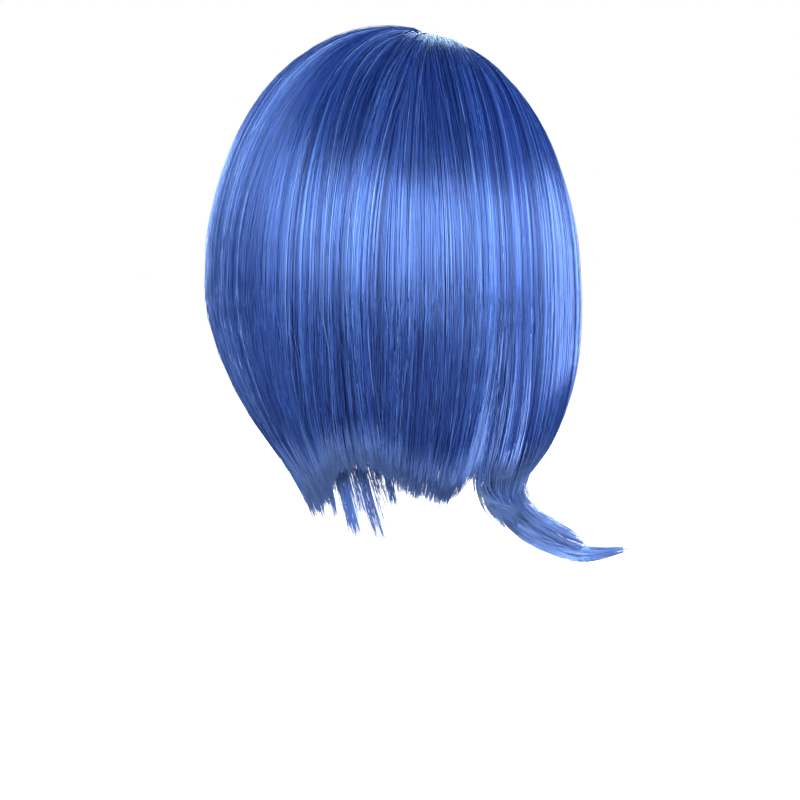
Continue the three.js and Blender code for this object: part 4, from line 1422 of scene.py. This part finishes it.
def adjuster(side, word):
    """The elastic strap at the nape with its gripping pad and its pull."""
    body = f"adjuster_{word}"
    out, thick, z, high = NAPE["strap_out"], NAPE["strap_thick"], NAPE["middle"], NAPE["height"]
    path, normal = nape_arc(side, 14, 54, out - thick / 2, z)
    looks = (ELASTIC_LOOK, body, "elastic", [f"adjuster_strap_{word}"])
    tape(f"elastic_strap_{word}", path, normal, high - 2, thick * 0.9, *looks, 0.22, 2.0)
    path, normal = nape_arc(side, 15, 29, out + 0.65, z)
    grip = (HOOK_LOOK, body, "grip_plastic")
    tape(f"hook_pad_{word}", path, normal, high - 3.4, 0.68, *grip, [f"grip_pad_{word}"])
    rows = []
    for angle in np.linspace(16, 28, 13):
        for lift in np.linspace(-3.6, 3.6, 8):
            (base, *_), (away, *_) = nape_arc(side, angle, angle + 0.01, out + 0.9, z + lift)
            hook = np.array([base, base + away * 0.25, base + away * 0.42 + (0, 0, 0.22)])
            rows.append(sweep(hook, np.tile(np.cross(away, (0, 0, 1)), (3, 1)), 0.2, 0.2))
    finish_mesh(f"hook_pins_{word}", *joined(rows), *grip, [])
    path, normal = nape_arc(side, 10.5, 13.6, out - thick / 2, z, 0.2)
    looks = (BINDING_LOOK, body, "satin_binding", [f"strap_pull_{word}"])
    tape(f"strap_tab_{word}", path, normal, 8, 1.5, *looks)


SLEEVE_POINTS = 28
SLEEVE_WALL = 0.6


def pocket_sleeve(side, word):
    """The sewn tunnel: a flat sleeve open at both ends, round the strap."""
    turn = 2 * PI * (np.arange(SLEEVE_POINTS) + 0.5) / SLEEVE_POINTS
    squash = np.sign(np.cos(turn)) * np.abs(np.cos(turn)) ** 0.5
    raise_by = np.sign(np.sin(turn)) * np.abs(np.sin(turn)) ** 0.28
    middle = NAPE["strap_out"] - NAPE["strap_thick"] / 2
    half_thick = NAPE["strap_thick"] / 2 + 0.35
    half_high = NAPE["height"] / 2 - 0.4
    stations = np.linspace(40, 55, 26)
    corners, pattern = [], []
    for grow in (SLEEVE_WALL, 0.0):
        for i, angle in enumerate(stations):
            gather = 0.10 * math.sin(i * 1.9) * (grow > 0)
            (base, *_), (away, *_) = nape_arc(side, angle, angle + 0.01, middle, NAPE["middle"])
            for across, lift in zip(squash, raise_by):
                rise = np.array([0, 0, lift * (half_high + grow)])
                corners.append(base + away * across * (half_thick + grow + gather) + rise)
                pattern.append((angle, lift * half_high))
    rows, size = len(stations), len(stations) * SLEEVE_POINTS
    faces = []
    for start in (0, size):
        for i in range(rows - 1):
            here = start + i * SLEEVE_POINTS
            faces += ring_faces(here, here + SLEEVE_POINTS, SLEEVE_POINTS)
    for end in (0, size - SLEEVE_POINTS):
        faces += ring_faces(end, size + end, SLEEVE_POINTS)
    flat = [pattern[n] for f in faces for n in f]
    uv = [
        ((pattern[n][0] - 39) / 34 + 0.5 * (n >= size), 0.5 + pattern[n][1] / 16) for f in faces for n in f
    ]
    looks = (BINDING_LOOK, pocket_body(word), "satin_binding", [f"strap_pocket_{word}"])
    turn_out(finish_mesh(f"pocket_sleeve_{word}", np.array(corners), faces, uv, flat, *looks))


def pocket_body(word):
    for body, nodes in frame["record"]["behaviour"]["bodies"].items():
        if f"strap_pocket_{word}" in nodes:
            return body
    raise KeyError(word)


def soft_pad(side, word):
    path, normal = nape_arc(side, 2, 32, NAPE["strap_out"] + 1.3 + 0.35, NAPE["middle"])
    looks = (PILE_LOOK, "cap", "elastic", [f"soft_pad_{word}"])
    tape(f"loop_pad_{word}", path, normal, NAPE["height"] - 1, 0.7, *looks, 0.15, 1.3)


def label():
    """A plain woven label, sewn to the net at its ends, with nothing on it."""
    points = 60
    bulge = 0.12 * np.sin(np.linspace(0, PI, points))
    path = np.stack([np.linspace(-13, 13, points), 88.8 + bulge, np.full(points, -45.0)], axis=1)
    inward = [0.0, -1.0, 0.0]
    looks = (LABEL_LOOK, "cap", "label_cloth", ["blank_label"])
    tape("blank_label_cloth", path, np.tile(inward, (points, 1)), 14, 0.4, *looks)
    for side, word in SIDES_OF_HEAD:
        line = np.array([[side * 11.8, 88.58, z] for z in (-39.5, -50.5)])
        stitches(f"label_stitches_{word}", line, np.tile(inward, (2, 1)), "cap", 1.3, 2.0, 0.26)


for side, word in SIDES_OF_HEAD:
    adjuster(side, word)
    pocket_sleeve(side, word)
    soft_pad(side, word)
    stay = frame["nodes"][f"ear_tab_stay_{word}"].data
    stay.materials.clear()
    stay.materials.append(STEEL_LOOK)
label()

# ------------------------------------------------------------------ studio

CAMERA_AZIMUTH = 200
CAMERA_ELEVATION = 3


def area_light(name, place, target, size, power):
    data = bpy.data.lights.new(name, "AREA")
    data.shape = "RECTANGLE"
    data.size, data.size_y = size
    data.energy = power
    lamp = bpy.data.objects.new(name, data)
    lamp.location = place
    direction = Vector(target) - Vector(place)
    lamp.rotation_euler = direction.to_track_quat("-Z", "Y").to_euler()
    bpy.context.scene.collection.objects.link(lamp)


def round_the_head(azimuth, elevation, distance, centre):
    """A place seen from the object at a camera azimuth: azimuth 0 is in front, 90 at the wearer's left."""
    a, e = math.radians(azimuth), math.radians(elevation)
    return (
        centre[0] + distance * math.sin(a) * math.cos(e),
        centre[1] - distance * math.cos(a) * math.cos(e),
        centre[2] + distance * math.sin(e),
    )


FLOOR_COLOUR = (0.24, 0.24, 0.24)


def floor_material():
    """White to the camera with the object's soft shadow, and dimmer to the light that bounces off it."""
    material, tree, shader = new_material("floor_white")
    feed(tree, shader, {"Base Color": (*FLOOR_COLOUR, 1), "Roughness": 0.9})
    place = add_node(tree, "NewGeometry", {}).outputs["Position"]
    away = add_node(tree, "VectorMath", {0: place}, operation="LENGTH").outputs["Value"]
    fade = add_node(tree, "MapRange", {
        "From Min": 0.3, "From Max": 1.6, "To Min": 0.9, "To Max": 1.0, "Value": away,
    })
    glow = add_node(tree, "Emission", {"Strength": fade.outputs["Result"]})
    both = add_node(tree, "AddShader", {0: shader.outputs["BSDF"], 1: glow.outputs["Emission"]})
    mix = add_node(tree, "MixShader", {
        "Fac": add_node(tree, "LightPath", {}).outputs["Is Camera Ray"],
        1: shader.outputs["BSDF"],
        2: both.outputs["Shader"],
    })
    feed(tree, tree.nodes["Material Output"], {"Surface": mix.outputs["Shader"]})
    return material


FLOOR_HALF = 8.0
FLOOR_BELOW = 0.012
plane = bpy.data.meshes.new("floor")
corners = [(x * FLOOR_HALF, y * FLOOR_HALF, 0) for x, y in ((-1, -1), (1, -1), (1, 1), (-1, 1))]
plane.from_pydata(corners, [], [(0, 1, 2, 3)])
floor = bpy.data.objects.new("floor", plane)
floor.location.z = cad_box[0][2] - FLOOR_BELOW
bpy.context.scene.collection.objects.link(floor)
plane.materials.append(floor_material())


def studio_world():
    """A white surround to the camera that lights the object only softly."""
    world = bpy.data.worlds.new("studio")
    world.use_nodes = True
    tree = world.node_tree
    soft = tree.nodes["Background"]
    feed(tree, soft, {"Color": (0.86, 0.92, 1.0, 1), "Strength": 0.10})
    seen = add_node(tree, "Background", {"Color": (1, 1, 1, 1)})
    mix = add_node(tree, "MixShader", {
        "Fac": add_node(tree, "LightPath", {}).outputs["Is Camera Ray"],
        1: soft.outputs["Background"],
        2: seen.outputs["Background"],
    })
    feed(tree, tree.nodes["World Output"], {"Surface": mix.outputs["Shader"]})
    return world


bpy.context.scene.world = studio_world()
bpy.context.scene.view_settings.view_transform = "Standard"

# name, azimuth and elevation in degrees, distance and size in metres, power in watts
LIGHTS = [
    ("key", 203, 19, 1.5, (1.6, 0.75), 92),
    ("rim_right", 284, 8, 1.3, (0.5, 1.1), 32),
    ("side_left", 84, 14, 1.5, (0.6, 0.9), 44),
    ("top_front", 20, 45, 1.5, (0.9, 0.5), 12),
    ("front_key", 14, 17, 1.7, (1.4, 0.7), 60),
]
centre = to_row([0, 8, -40])
for name, azimuth, elevation, away, size, power in LIGHTS:
    area_light(name, round_the_head(azimuth, elevation, away, centre), centre, size, power)

camera_data = bpy.data.cameras.new("camera")
camera_data.lens = 100
camera_data.sensor_width = 36
camera = bpy.data.objects.new("camera", camera_data)
bpy.context.scene.collection.objects.link(camera)
bpy.context.scene.camera = camera
# The picture is 800 pixels across, at 0.675 mm to a pixel.
PICTURE_WIDTH = 0.540
distance = camera_data.lens / camera_data.sensor_width * PICTURE_WIDTH
middle = to_row([-5.5, 7, -115])
camera.location = round_the_head(CAMERA_AZIMUTH, CAMERA_ELEVATION, distance, middle)
aim = Vector(middle) - camera.location
camera.rotation_euler = aim.to_track_quat("-Z", "Y").to_euler()
